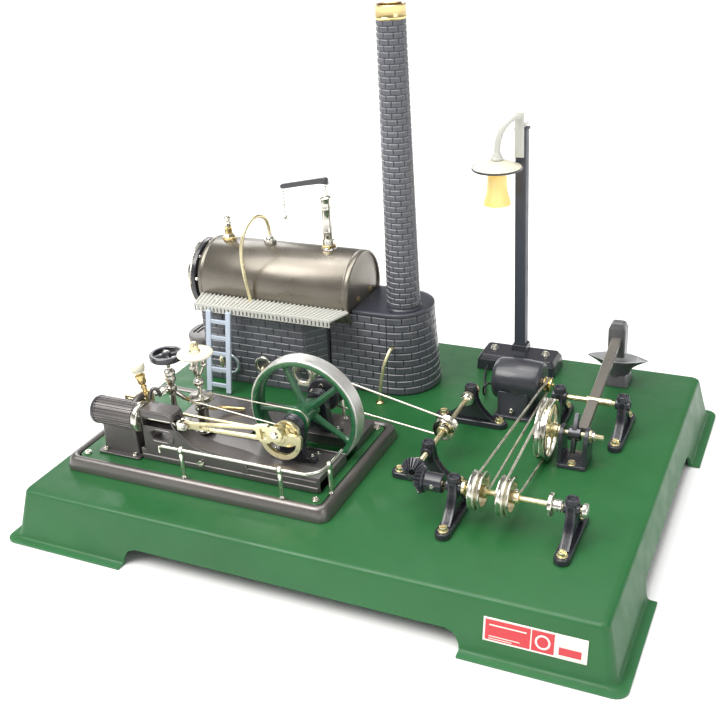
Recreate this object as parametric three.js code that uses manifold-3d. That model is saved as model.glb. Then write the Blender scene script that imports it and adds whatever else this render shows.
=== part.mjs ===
// Model steam engine on a pressed base tray: boiler house with chimney, horizontal engine,
// line shafting, dynamo with street lamp, and a trip hammer. Millimetres, +Z up,
// origin at the centre of the footprint on the supporting surface, +X along the long front edge.
import * as THREE from 'three';
import * as BGU from 'three/addons/utils/BufferGeometryUtils.js';
import Module from 'manifold-3d';

const wasm = await Module();
wasm.setup();

// ---------------------------------------------------------------- driving dimensions
const BASE_TOP = 40;                      // height of the tray top
const SHEET = 3.2;                        // tray top thickness
const FOOT_X = 237.5, FOOT_Y = 186;       // half footprint
const TOP_X = 222.5, TOP_Y = 171;         // half size of the tray top
const AX = -33, AZ = 83;                  // crankshaft axis (runs along Y)
const ROD_Y = -107.5;                     // plane of cylinder and connecting rod
const THROW = 6;                          // crank throw
const WHEEL_R = 45, WHEEL_Y0 = -66, WHEEL_Y1 = -52;
const SMALL_END_X = -110;                 // crosshead pin at mid stroke
const GOV_X = -118.7, GOV_Y = -72, GOV_Z = 87;   // governor pulley
const HUB_PULLEY_Y = -74.5;               // governor belt groove on the flywheel hub
const SH_Z = 66;                          // height of the line and cross shafts
const LX = 64.3;                          // line shaft (runs along Y)
const CY = -95;                           // cross shaft (runs along X)
const BELT1_Y = -22;                      // plane of the engine belt
const PA_X = 115.5, PB_X = 135.5;         // cross shaft pulleys
const DYN_X = 117.5, DYN_Y = 72, DYN_Z = 65;     // dynamo pulley
const HAM_Y = 3, HAM_Z = 64.5;            // hammer cam shaft
const PIV_Y = 54.5, PIV_Z = 66;           // hammer pivot shaft
const ARM_X = 158.5, ARM_TILT = 13 * Math.PI / 180;
const BOIL_Y = 88, BOIL_Z = 122, BOIL_R = 34.5, BOIL_X0 = -197, BOIL_X1 = -50;
const CHIM_X = -11, CHIM_Y = 83, CHIM_TOP = 358.5;
const GAP = 0.3;
const ROUND = 0.5;                        // facet density of round pieces

// ---------------------------------------------------------------- helpers
const V = (x, y, z) => new THREE.Vector3(x, y, z);
function solid(geo) {                     // closed geometry -> manifold solid, faces out
  const g = geo.clone();
  for (const k of Object.keys(g.attributes)) if (k !== 'position') g.deleteAttribute(k);
  const m = BGU.mergeVertices(g, 1e-4);
  const p = m.attributes.position, idx = m.index.array;
  const tri = [];
  for (let i = 0; i < idx.length; i += 3) {
    const [a, b, c] = [idx[i], idx[i + 1], idx[i + 2]];
    if (a !== b && b !== c && a !== c) tri.push(a, b, c);
  }
  const A = V(), B = V(), C = V();
  let vol = 0;
  for (let i = 0; i < tri.length; i += 3) {
    A.fromBufferAttribute(p, tri[i]); B.fromBufferAttribute(p, tri[i + 1]); C.fromBufferAttribute(p, tri[i + 2]);
    vol += A.dot(B.clone().cross(C));
  }
  if (vol < 0) for (let i = 0; i < tri.length; i += 3) { const t = tri[i]; tri[i] = tri[i + 1]; tri[i + 1] = t; }
  const mesh = new wasm.Mesh({ numProp: 3, vertProperties: Float32Array.from(p.array), triVerts: Uint32Array.from(tri) });
  mesh.merge();
  return new wasm.Manifold(mesh);
}
function geometry(man) {
  const m = man.getMesh();
  const g = new THREE.BufferGeometry();
  g.setAttribute('position', new THREE.BufferAttribute(new Float32Array(m.vertProperties), 3));
  g.setIndex(Array.from(m.triVerts));
  g.computeVertexNormals();
  return g;
}
const join = (...a) => a.flat().reduce((s, m) => s.add(m));
const box = (x0, x1, y0, y1, z0, z1) => solid(new THREE.BoxGeometry(x1 - x0, y1 - y0, z1 - z0)
  .translate((x0 + x1) / 2, (y0 + y1) / 2, (z0 + z1) / 2));
// box whose bottom and top rectangles differ
function taper(b, z0, t, z1) {
  const g = new THREE.BoxGeometry(1, 1, 1);
  const p = g.attributes.position;
  for (let i = 0; i < p.count; i++) {
    const q = p.getZ(i) > 0 ? t : b;
    p.setXYZ(i, p.getX(i) > 0 ? q[1] : q[0], p.getY(i) > 0 ? q[3] : q[2], p.getZ(i) > 0 ? z1 : z0);
  }
  return solid(g);
}
const turn = { x: new THREE.Matrix4().makeRotationZ(-Math.PI / 2), y: new THREE.Matrix4(), z: new THREE.Matrix4().makeRotationX(Math.PI / 2) };
// cylinder or cone along an axis from a to b (coordinates on that axis), through point c
const facets = (n) => Math.max(6, Math.round(n * ROUND));
function cyl(axis, c, a, b, r0, r1 = r0, seg = 24) {
  const g = new THREE.CylinderGeometry(r1, r0, b - a, facets(seg)).applyMatrix4(turn[axis]);
  const m = (a + b) / 2;
  return solid(g.translate(axis === 'x' ? m : c[0], axis === 'y' ? m : c[1], axis === 'z' ? m : c[2]));
}
// turned body: profile of [radius, distance along axis]
function lathe(axis, c, prof, seg = 24) {
  const g = new THREE.LatheGeometry(prof.map(([r, h]) => new THREE.Vector2(r, h)), facets(seg)).applyMatrix4(turn[axis]);
  return solid(g.translate(axis === 'x' ? 0 : c[0], axis === 'y' ? 0 : c[1], axis === 'z' ? 0 : c[2]));
}
const ring = (axis, c, a, b, ri, ro, seg = 32) => cyl(axis, c, a, b, ro, ro, seg).subtract(cyl(axis, c, a - 1, b + 1, ri, ri, seg));
const shape = (pts) => new THREE.Shape(pts.map(([x, y]) => new THREE.Vector2(x, y)));
const basis = {
  x: new THREE.Matrix4().makeBasis(V(0, 1, 0), V(0, 0, 1), V(1, 0, 0)),
  y: new THREE.Matrix4().makeRotationX(Math.PI / 2),
  z: new THREE.Matrix4(),
};
// prism: outline in (y,z), (x,z) or (x,y) pushed along x, y or z from a to b
function prism(axis, pts, a, b, holes = [], seg = 8) {
  const s = pts instanceof THREE.Shape ? pts : shape(pts);
  for (const h of holes) s.holes.push(new THREE.Path(h.map(([x, y]) => new THREE.Vector2(x, y))));
  const g = new THREE.ExtrudeGeometry(s, { depth: b - a, bevelEnabled: false, steps: 1, curveSegments: seg });
  g.applyMatrix4(basis[axis]);
  if (axis === 'x') g.translate(a, 0, 0); else if (axis === 'y') g.translate(0, b, 0); else g.translate(0, 0, a);
  return solid(g);
}
function tube(pts, r, steps, seg = 8, tension = 0.5) {
  const curve = new THREE.CatmullRomCurve3(pts.map((p) => V(...p)), false, 'catmullrom', tension);
  const c = [];
  for (let i = 0; i < seg; i++) c.push([r * Math.cos(2 * Math.PI * i / seg), r * Math.sin(2 * Math.PI * i / seg)]);
  return solid(new THREE.ExtrudeGeometry(shape(c), { steps, extrudePath: curve, bevelEnabled: false }));
}
const bar = (a, b, r, seg = 8) => tube([a, b], r, 1, seg);
const circle = (cx, cy, r, n = 24, a0 = 0, a1 = 2 * Math.PI) => Array.from({ length: n }, (_, i) => {
  const t = a0 + (a1 - a0) * i / (Math.abs(a1 - a0) > 6.2 ? n : n - 1);
  return [cx + r * Math.cos(t), cy + r * Math.sin(t)];
});
// outline of an open belt round two wheels; d > 0 widens it
function beltLoop(c1, r1, c2, r2, n = 12) {
  const dx = c2[0] - c1[0], dy = c2[1] - c1[1], L = Math.hypot(dx, dy), a = Math.atan2(dy, dx), k = Math.acos((r1 - r2) / L);
  const pts = [];
  for (let i = 0; i <= n; i++) { const t = a + k + (2 * Math.PI - 2 * k) * i / n; pts.push([c1[0] + r1 * Math.cos(t), c1[1] + r1 * Math.sin(t)]); }
  for (let i = 0; i <= n; i++) { const t = a - k + 2 * k * i / n; pts.push([c2[0] + r2 * Math.cos(t), c2[1] + r2 * Math.sin(t)]); }
  return pts;
}
const belt = (axis, c1, r1, c2, r2, a, b, t = 1.6) => prism(axis, beltLoop(c1, r1 + t, c2, r2 + t), a, b, [beltLoop(c1, r1, c2, r2).reverse()]);
// grooved pulley, centre at m on its axis
function pulley(axis, c, m, w, ro, rg, bore, seg = 28) {
  const h = w / 2, g = w / 2 - 1.6;
  return lathe(axis, c, [[bore, m - h], [ro, m - h], [ro, m - g], [rg, m - g * 0.55], [rg, m + g * 0.55], [ro, m + g], [ro, m + h], [bore, m + h], [bore, m - h]], seg);
}

const model = new THREE.Group();
const MAT = {
  green: [0x1f6a35, 0.35, 0.1], black: [0x1b1c20, 0.35, 0.2], iron: [0x33343a, 0.55, 0.3], steel: [0xd8d8d2, 0.2, 1],
  brass: [0xc9a24a, 0.25, 1], grey: [0x4a4a4c, 0.4, 0.6], pale: [0xd9dbd3, 0.5, 0], brick: [0x2a2c33, 0.6, 0.1],
  cream: [0xe9e1c4, 0.4, 0.1], amber: [0xe8a82c, 0.3, 0], plastic: [0x2b2d31, 0.6, 0], ladder: [0xb9c6d6, 0.5, 0], glass: [0xdfe8ea, 0.1, 0],
};
function add(name, man, mat, parent = model) {
  const [color, roughness, metalness] = MAT[mat];
  const m = new THREE.Mesh(man.isBufferGeometry ? man : geometry(man), new THREE.MeshStandardMaterial({ color, roughness, metalness }));
  m.name = name;
  parent.add(m);
  return m;
}

// ---------------------------------------------------------------- base tray
{
  let b = taper([-230.5, 230.5, -179, 179], 1.2, [-TOP_X, TOP_X, -TOP_Y, TOP_Y], BASE_TOP);
  b = b.add(box(-FOOT_X, FOOT_X, -FOOT_Y, FOOT_Y, 0, 1.6));
  b = b.subtract(taper([-228.4, 228.4, -176.9, 176.9], -1, [-220, 220, -168.5, 168.5], BASE_TOP - SHEET));
  // the skirt is cut up between the four corner feet
  b = b.subtract(prism('y', [[-131, -2], [-128, 11], [-122, 14], [122, 14], [128, 11], [131, -2]], -200, 200));
  b = b.subtract(prism('x', [[-90, -2], [-87, 11], [-82, 14], [82, 14], [87, 11], [90, -2]], -250, 250));
  b = b.subtract(box(-52, -14, -67.5, -50.5, 37.4, 60));      // recess below the flywheel
  add('base_tray', b, 'green');
}
// ---------------------------------------------------------------- engine base
add('engine_base_frame', taper([-211, 17, -135, 0], BASE_TOP + GAP, [-207, 13, -131, -4], 51)
  .subtract(box(-203, 9, -127, -8, 30, 60)), 'black');
add('engine_sole_plate', box(-202.6, 8.6, -126.6, -8.4, BASE_TOP + GAP, 49.5).subtract(box(-68, 2, -68, -50, 30, 60)), 'green');
{
  // bed casting: low slab, front cheek falling away from the cylinder end, slide bar block, main bearings
  let b = box(-152, 2.5, -112, -16, 49.8, 58);
  const cheek = [[-147, 50], [-147, 93], [-119, 93], [-117, 85], [-113, 77], [-104, 70.5], [-88, 67], [-62, 64.5], [-56, 62], [2.5, 62], [2.5, 50]];
  b = b.add(prism('y', cheek, -112.8, -99));
  const win = [...circle(-124.5, 72.2, 3.6, 9, -Math.PI / 2, Math.PI / 2), ...circle(-136, 72.2, 3.6, 9, Math.PI / 2, 3 * Math.PI / 2)];
  b = b.subtract(prism('y', win, -115, -90));
  b = b.subtract(cyl('x', [0, ROD_Y, AZ], -150, -110, 6.4, 6.4, 20));                 // slide bore
  b = b.subtract(box(-140, 0, -98.9, -69.5, 56, 58.5).add(box(-118, 0, -98.8, -89, 53, 58.5)));   // sunk crank pit
  b = b.subtract(box(-81, 6, -68.5, -49.5, 40, 70));                                  // flywheel pit
  b = b.add(box(-42, -24, -88, -80, 55, AZ)).add(cyl('y', [AX, 0, AZ], -88.6, -79.4, 9, 9, 20));
  b = b.add(box(-42, -24, -45, -37, 55, AZ)).add(cyl('y', [AX, 0, AZ], -45, -37, 8.5, 8.5, 20));
  b = b.subtract(cyl('y', [AX, 0, AZ], -92, -30, 3, 3, 16));
  add('engine_bed', b, 'iron');
}
// ---------------------------------------------------------------- cylinder
add('cylinder_support', box(-187, -154, -112, -97, 49.8, 77).subtract(cyl('x', [0, ROD_Y, AZ], -200, -140, 11.6, 11.6, 36)), 'iron');
{
  const j = cyl('x', [0, ROD_Y, AZ], -190, -153.4, 10.7, 10.7, 40).add(cyl('x', [0, ROD_Y, AZ], -193, -189.9, 11, 11, 28))
    .subtract(cyl('x', [0, ROD_Y, AZ], -172, -150, 2.3, 2.3, 12));
  add('cylinder_jacket', j, 'black');
}
add('cylinder_ring', ring('x', [0, ROD_Y, AZ], -153, -147.5, 2.6, 11.6, 28), 'steel');
add('steam_chest', box(-174, -153.6, -95.2, -84, 76, 92).add(box(-171, -157, -95.6, -82.5, 79, 90)), 'iron');
{
  const g = new THREE.Group();
  g.position.set(-156.5, -90, 92.6); g.rotation.y = -12 * Math.PI / 180; g.rotation.order = 'YXZ';
  model.add(g);
  add('lubricator', lathe('z', [0, 0, 0], [[0, 0.6], [3.6, 0.6], [3.6, 2.4], [1.8, 3.4], [1.8, 8], [3.2, 9], [3.6, 16], [2.2, 17.4], [2.2, 17.6], [2.2, 19.2], [5, 19.2], [5.6, 20.4], [5.2, 22], [0, 22.6]], 16), 'brass', g);
}
add('throttle_valve', lathe('z', [-147, -70, 0], [[0, 58.4], [4.6, 58.4], [4.6, 61], [2.6, 63], [2.6, 84], [4.2, 86], [4.2, 91], [2.6, 92], [2.6, 94.4], [5, 95], [5, 104], [3.6, 106], [2, 107.5], [0, 107.5]], 16)
  .add(bar([-147, -70, 88.5], [-156.4, -81.4, 88.5], 2.2)), 'steel');
{
  // handwheel: rim, hub with stem, four spokes
  const c = [-147, -70, 0];
  let w = ring('z', c, 115.6, 120.4, 10.2, 13.4, 28).add(cyl('z', c, 107.9, 121.5, 1.8, 1.8, 12)).add(cyl('z', c, 116, 121.5, 3.4, 3.4, 14));
  for (let i = 0; i < 4; i++) { const t = Math.PI / 4 + i * Math.PI / 2; w = w.add(bar([c[0], c[1], 118], [c[0] + 11 * Math.cos(t), c[1] + 11 * Math.sin(t), 118], 1.3, 6)); }
  add('throttle_handwheel', w, 'black');
}
// ---------------------------------------------------------------- governor
add('governor_column', lathe('z', [GOV_X, GOV_Y, 0], [[0, 58.3], [8, 58.3], [8, 60], [5.2, 62], [5.2, 83], [6, 84.6], [0, 84.6]], 18), 'iron');
{
  const c = [GOV_X, GOV_Y, 0], z = GOV_Z;
  const s = lathe('z', c, [[0, z - 2.2], [9.2, z - 2.2], [9.2, z - 1.7], [7.3, z - 1.1], [7.3, z + 1.1], [9.2, z + 1.7], [9.2, z + 2.2], [2.4, z + 3], [1.6, z + 5], [1.6, z + 9],
    [3.6, z + 10.5], [4.2, z + 13], [3.6, z + 15.5], [1.8, z + 17], [1.8, z + 20], [3.4, z + 24], [5.4, z + 30], [7.4, z + 34], [15.6, z + 36.4], [16, z + 38], [15.4, z + 39.4],
    [4.6, z + 39.8], [4.2, z + 46], [2.6, z + 48.4], [0, z + 48.6]], 22);
  add('governor_spindle', s, 'brass');
}
{
  // quarter-turn belt from the wheel hub to the governor pulley
  const r = 8.4, top = AZ + 8.9, bot = AZ - 8.9;
  const back = [GOV_X, GOV_Y + r, GOV_Z], front = [GOV_X, GOV_Y - r, GOV_Z];
  const a = [], n = 8;
  for (let i = 0; i <= n; i++) { const t = Math.PI / 2 + Math.PI * i / n; a.push([GOV_X + r * Math.cos(t), GOV_Y + r * Math.sin(t), GOV_Z]); }
  const b = [];
  for (let i = 0; i <= n; i++) { const t = -Math.PI / 2 + Math.PI * i / n; b.push([AX + 8.9 * Math.cos(t), HUB_PULLEY_Y, AZ + 8.9 * Math.sin(t)]); }
  const q = 0.6;
  let m = tube(a, q, 8, 5).add(tube(b, q, 8, 5));
  const ext = (p, d) => [p[0] + d, p[1], p[2]];
  m = m.add(tube([ext(back, -0.5), back, [AX, HUB_PULLEY_Y, top], ext([AX, HUB_PULLEY_Y, top], 0.5)], q, 4, 5, 0))
    .add(tube([ext(front, -0.5), front, [AX, HUB_PULLEY_Y, bot], ext([AX, HUB_PULLEY_Y, bot], 0.5)], q, 4, 5, 0));
  add('governor_belt', m, 'steel');
}
// ---------------------------------------------------------------- motion work
{
  const y = ROD_Y, x = SMALL_END_X;
  let c = cyl('x', [0, y, AZ], -157, x - 6, 1.7, 1.7, 12).add(cyl('x', [0, y, AZ], x - 9, x - 4.2, 5.2, 5.2, 18));
  c = c.add(box(x - 5, x + 3, y - 4.4, y - 2.1, AZ - 3.4, AZ + 3.4)).add(box(x - 5, x + 3, y + 2.1, y + 4.4, AZ - 3.4, AZ + 3.4));
  c = c.add(cyl('y', [x, 0, AZ], y - 4, y + 4, 1.1, 1.1, 10));
  add('crosshead', c, 'steel');
}
const PIN_X = AX, PIN_Z = AZ + THROW;      // crank pin above the axis at rest
{
  // connecting rod, drawn along its own axis and tilted to the pin
  const L = Math.hypot(PIN_X - SMALL_END_X, PIN_Z - AZ), tilt = Math.atan2(PIN_Z - AZ, PIN_X - SMALL_END_X);
  const o = [...circle(0, 0, 3.1, 9, Math.PI * 0.55, Math.PI * 1.45), [6, -2.2], [L - 14, -5.4], [L - 5, -6.6], [L + 5.5, -6.6], [L + 5.5, 6.6], [L - 5, 6.6], [L - 14, 5.4], [6, 2.2]];
  let r = prism('y', o, ROD_Y - 1.5, ROD_Y + 1.5, [[[16, -0.4], [L - 16, -2.6], [L - 16, 2.6], [16, 0.4]]]);
  r = r.subtract(cyl('y', [0, 0, 0], ROD_Y - 3, ROD_Y + 3, 1.4, 1.4, 12));
  r = r.add(cyl('y', [L, 0, 0], ROD_Y - 2.6, ROD_Y + 5, 2.6, 2.6, 12));
  const m = add('connecting_rod', r, 'brass');
  m.position.set(SMALL_END_X, 0, AZ); m.rotation.y = -tilt;
}
{
  // crank web with half-moon counterweight
  const o = [];
  for (let i = 0; i <= 14; i++) { const t = Math.PI + Math.PI * i / 14; o.push([AX + 17 * Math.cos(t), AZ - 1 + 17 * Math.sin(t)]); }
  o.push([AX + 17, AZ + 1.5], [AX + 6.5, AZ + 3.5]);
  for (let i = 0; i <= 6; i++) { const t = 0.2 + (Math.PI - 0.4) * i / 6; o.push([AX + 5.2 * Math.cos(t), PIN_Z + 5.2 * Math.sin(t)]); }
  o.push([AX - 6.5, AZ + 3.5], [AX - 17, AZ + 1.5]);
  const h = [];
  for (let i = 0; i <= 10; i++) { const t = Math.PI + 0.3 + (Math.PI - 0.6) * i / 10; h.push([AX + 13.4 * Math.cos(t), AZ - 1 + 13.4 * Math.sin(t)]); }
  h.push([AX + 6.6, AZ - 5], [AX + 4, AZ - 6.8], [AX - 4, AZ - 6.8], [AX - 6.6, AZ - 5]);
  add('crank_web', prism('y', o, -102.1, -98.3, [h.reverse()]), 'brass');
}
{
  // crankshaft with eccentric sheave and strap in front of the bearing and the driving pulley at the back end
  let s = cyl('y', [AX, 0, AZ], -98, -12.5, 2.6, 2.6, 16).add(cyl('y', [AX + 2, 0, AZ], -97.6, -91.2, 7.6, 7.6, 22));
  s = s.add(cyl('y', [AX + 2, 0, AZ], -96.2, -92.6, 10.4, 10.4, 26));
  s = s.add(pulley('y', [AX, 0, AZ], BELT1_Y, 9, 13.8, 11.4, 2.4, 28)).add(cyl('y', [AX, 0, AZ], -31.5, -14, 5, 5, 16));
  add('crankshaft', s, 'steel');
}
// valve rod; it stops short of the eccentric strap, which turns with the crankshaft
add('valve_rod', cyl('x', [0, -94.1, AZ], -150, -56, 1.2, 1.2, 12).add(box(-58, -47.6, -95.6, -92.8, AZ - 3, AZ + 3)), 'brass');
{
  // flywheel: rim, five round spokes, long hub with a belt groove
  const c = [AX, 0, AZ];
  let w = lathe('y', c, [[39.6, WHEEL_Y0 + 1], [41, WHEEL_Y0], [44.2, WHEEL_Y0], [WHEEL_R, WHEEL_Y0 + 1], [WHEEL_R, WHEEL_Y1 - 1], [44.2, WHEEL_Y1], [41, WHEEL_Y1], [39.6, WHEEL_Y1 - 1], [39.6, WHEEL_Y0 + 1]], 48);
  const hp = HUB_PULLEY_Y;
  w = w.add(lathe('y', c, [[2.9, hp - 2.6], [9.6, hp - 2.6], [9.6, hp - 1.9], [7.9, hp - 1.2], [7.9, hp + 1.2], [9.6, hp + 1.9], [9.6, hp + 2.6], [8, hp + 3.4], [8, -54], [7, -50], [2.9, -50], [2.9, hp - 2.6]], 24));
  for (let i = 0; i < 5; i++) {
    const t = Math.PI * (0.5 + 0.13) + i * 2 * Math.PI / 5;
    const g = new THREE.CylinderGeometry(2.3, 3.2, 35, 6).translate(0, 6 + 17.5, 0).rotateZ(t - Math.PI / 2).applyMatrix4(new THREE.Matrix4().makeRotationX(Math.PI / 2));
    w = w.add(solid(g.translate(AX, -59, AZ)));
  }
  add('flywheel', w, 'green');
}
add('engine_belt', belt('y', [AX, AZ], 11.8, [LX, SH_Z], 7, BELT1_Y - 0.8, BELT1_Y + 0.8), 'steel');
{
  const z = 75, y = -129;
  const path = [[-121, y, 69.5], [-121, y, 73.4], [-118.6, y, z], [-112, y, z], [-60, y, z], [-5, y, z], [4, y + 1.6, z], [9.6, y + 7, z], [11, y + 14, z], [11, y + 38, z]];
  let r = tube(path, 1.25, 20, 5, 0.3);
  for (const [px, py] of [[-102, y], [-19.5, y], [11, -111.5]]) r = r.add(lathe('z', [px, py, 0], [[0, 51.3], [2.2, 51.3], [1.2, 53], [1.5, 70], [2.3, 73], [2.3, 77], [0, 77.4]], 10));
  add('guard_rail', r, 'steel');
}
// ---------------------------------------------------------------- boiler house
const boilerCut = (r) => cyl('x', [0, BOIL_Y, BOIL_Z], BOIL_X0 - 8, BOIL_X1 + 0.5, r, r, 40);
{
  const o = [[-187, 39], [-86, 39], [-72, 56], [-72, 128], [-82, 137], [-187, 137]];
  const i = [[-183, 43], [-88, 43], [-76, 57.5], [-76, 126], [-84, 133], [-183, 133]];
  let h = prism('z', o, BASE_TOP + GAP, 113.6).subtract(prism('z', i, 30, 120));
  h = h.add(box(-187, -72, 118, 137, 109.6, 113.6));
  h = h.subtract(boilerCut(BOIL_R + 0.9));
  h = h.subtract(box(-190, -176, 52, 112, 46, 76));                // mouth for the burner drawer
  add('boiler_house', h, 'brick');
}
{
  // burner drawer with its flat grip outside the left wall
  let d = box(-188.5, -96, 56, 108, 47, 62).subtract(box(-178, -100, 60, 104, 51, 70));
  d = d.add(box(-190.5, -188, 54, 110, 45, 74.5));
  const s = [];
  for (let i = 0; i < 28; i++) { const t = i * Math.PI / 14; s.push([-207 + 20 * Math.cos(t), 80 + 24 * Math.sin(t)]); }
  d = d.add(prism('z', s, 61, 66).subtract(box(-189, -180, 40, 120, 50, 80)));
  add('burner_drawer', d, 'iron');
}
add('boiler_shell', lathe('x', [0, BOIL_Y, BOIL_Z], [[0, -201], [28, -201], [28, BOIL_X0 + 1], [BOIL_R, BOIL_X0], [BOIL_R, BOIL_X1], [33.2, BOIL_X1], [33.2, BOIL_X1 - 2], [26, BOIL_X1 - 0.6], [0, BOIL_X1 + 0.4]], 40), 'grey');
// water gauge: black flange, bright clamping ring and the glass disc in it
add('gauge_flange', cyl('x', [0, BOIL_Y, BOIL_Z], -205.8, -201.3, 31.5, 31.5, 36).add(ring('x', [0, BOIL_Y, BOIL_Z], -209.5, -205.5, 23, 31.8, 36)), 'iron');
add('safety_valve_body', lathe('z', [-180, BOIL_Y, 0], [[0, 156.9], [5.4, 156.9], [5.6, 159], [4.4, 161], [3.6, 162], [3.6, 167], [1.6, 167], [1.6, 160.5], [0, 160.5]], 18), 'brass');
add('safety_valve_stem', lathe('z', [-180, BOIL_Y, 0], [[0, 161.2], [1.2, 161.2], [1.2, 167.6], [3.2, 167.6], [3.2, 174], [2, 175], [2, 178.4], [0, 178.4]], 14), 'steel');
add('steam_pipe', tube([[-138.3, 88, 156.9], [-138.3, 88, 170], [-138.6, 84.6, 179], [-139.6, 76, 184.4], [-141, 66, 184.4], [-142.6, 57, 179], [-144, 51.4, 170], [-144.4, 48.6, 158], [-143.6, 48, 144], [-142.2, 48.6, 130], [-141, 49.4, 117], [-141, 49.4, 104]], 1.6, 26, 6)
  .add(lathe('z', [-138.3, BOIL_Y, 0], [[0, 156.8], [5.4, 156.8], [5.4, 159], [2.4, 161.5], [0, 161.5]], 10)), 'brass');
add('whistle_column', lathe('z', [-80.5, BOIL_Y, 0], [[0, 156.9], [6.4, 156.9], [6.6, 159], [5.4, 160.4], [5.4, 166], [4.2, 167], [4.2, 192], [5, 193], [5, 202.4], [1.8, 203], [1.8, 211.6], [0, 211.6]], 18), 'steel');
{
  const o = [[-77, 213], [-77, 218.4], [-81, 219], [-121, 210.8], [-122.6, 209], [-121, 207], [-95, 212.3]];
  add('whistle_lever', prism('y', o, BOIL_Y - 1.6, BOIL_Y + 1.6), 'black');
}
{
  // walkway: deck with a hole for the steam pipe, and a front fascia
  let w = prism('z', [[-187.5, 31], [-56, 31], [-49, 53.1], [-193.5, 53.1]], 114, 117).add(box(-187.5, -56, 31, 32.5, 109.5, 116));
  w = w.subtract(cyl('z', [-141, 49.4, 0], 100, 130, 2.3, 2.3, 12));
  add('walkway', w, 'pale');
}
{
  let l = tube([[-172.9, 16, 40.8], [-172.9, 29, 109]], 1.5, 1, 4).add(tube([[-153.2, 16, 40.8], [-153.2, 29, 109]], 1.5, 1, 4));
  for (let i = 0; i < 5; i++) { const z = 48.5 + 14 * i, y = 16 + 13 * (z - 40.4) / 68.6; l = l.add(box(-173.5, -152.6, y - 0.7, y + 0.7, z - 1.1, z + 1.1)); }
  add('ladder', l, 'ladder');
}
{
  let b = taper([-71.6, -19, 57.5, 124.5], BASE_TOP + GAP, [-71.6, -17.5, 61.5, 120.5], 113.6);
  b = b.add(cyl('z', [-18.5, 91, 0], BASE_TOP + GAP, 113.6, 33.5, 29.5, 36));
  b = b.subtract(boilerCut(BOIL_R + 0.9));
  add('chimney_block', b, 'brick');
}
add('chimney', lathe('z', [CHIM_X, CHIM_Y, 0], [[0, 113.9], [13.9, 113.9], [11.1, CHIM_TOP - 10], [11.7, CHIM_TOP - 10], [11.7, CHIM_TOP - 0.4], [11.2, CHIM_TOP], [9.8, CHIM_TOP], [9.8, CHIM_TOP - 3.5], [0, CHIM_TOP - 3.5]], 28), 'brick');
add('drain_pipe', tube([[-12.6, 59.2, 84], [-13, 55, 84.5], [-15, 49, 79], [-17.4, 45, 66], [-19, 43, 52], [-19.4, 42.4, 40.6]], 1.5, 11, 6), 'brass');
{
  // exhaust pipe: loop in front of the house wall, then down to the back of the engine bed
  const p = [[-92, 38.2, 73], [-92.4, 33, 73]];
  for (let i = 0; i <= 12; i++) { const t = Math.PI * 0.62 + 2 * Math.PI * i / 12; p.push([-84.8 + 8.6 * Math.cos(t), 31 - 5 * i / 12, 63 + 8.6 * Math.sin(t)]); }
  p.splice(2, 1);
  p.push([-76, 23, 73.5], [-66, 18.5, 74], [-52, 8, 77], [-38, -2, 77], [-29, -8, 71], [-26.5, -10.5, 62], [-26.5, -12.4, 50.1]);
  add('exhaust_pipe', tube(p, 1.5, 38, 5), 'steel');
}
// ---------------------------------------------------------------- shaft pedestals
// drawn with the shaft along local X and the feet along local Y, shaft at height SH_Z
function pedestal() {
  const st = [...circle(24.5, 0, 5, 9, -Math.PI / 2, Math.PI / 2), ...circle(-24.5, 0, 5, 9, Math.PI / 2, 3 * Math.PI / 2)].map(([a, b]) => [-b, a]);
  let p = prism('z', st, BASE_TOP + GAP, 44.6);
  p = p.add(prism('x', [[-19, 44], [19, 44], [5.6, 58], [4.6, 70], [-4.6, 70], [-5.6, 58]], -3, 3));
  p = p.add(cyl('z', [0, 0, 0], 57, 74, 5, 5, 18));
  return p.subtract(cyl('x', [0, 0, SH_Z], -10, 10, 2.35, 2.35, 14));
}
const PED = geometry(pedestal());
function placePedestal(name, x, y, along) {
  const m = add(name, PED, 'plastic');
  m.position.set(x, y, 0);
  if (along === 'y') m.rotation.z = Math.PI / 2;
}
placePedestal('pedestal_line_back', LX, 36, 'y');
placePedestal('pedestal_line_front', LX, -57, 'y');
placePedestal('pedestal_cross_left', 98, CY, 'x');
placePedestal('pedestal_cross_right', 180, CY, 'x');
placePedestal('pedestal_hammer_left', 131.5, PIV_Y, 'x');
placePedestal('pedestal_hammer_right', 181, PIV_Y, 'x');
// ---------------------------------------------------------------- shafts, gears and pulleys
add('line_shaft', cyl('y', [LX, 0, SH_Z], -84, 44, 2, 2, 14).add(pulley('y', [LX, 0, SH_Z], BELT1_Y, 9, 9, 6.6, 1.8, 24))
  .add(cyl('y', [LX, 0, SH_Z], 28.6, 28.9, 5.6, 5.6, 16).add(cyl('y', [LX, 0, SH_Z], 24, 29, 4.4, 4.4, 16))), 'steel');
add('cross_shaft', cyl('x', [0, CY, SH_Z], 75.4, 190, 2, 2, 14).add(cyl('x', [0, CY, SH_Z], 186.8, 190.8, 5, 5, 18))
  .add(cyl('x', [0, CY, SH_Z], 165, 167.4, 8.2, 8.2, 22)).add(cyl('x', [0, CY, SH_Z], 167, 173.5, 4.2, 4.2, 16))
  .add(pulley('x', [0, CY, SH_Z], PA_X, 9, 14, 12.2, 1.8, 28)).add(pulley('x', [0, CY, SH_Z], PB_X, 9, 14, 12.2, 1.8, 28)), 'steel');
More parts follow.
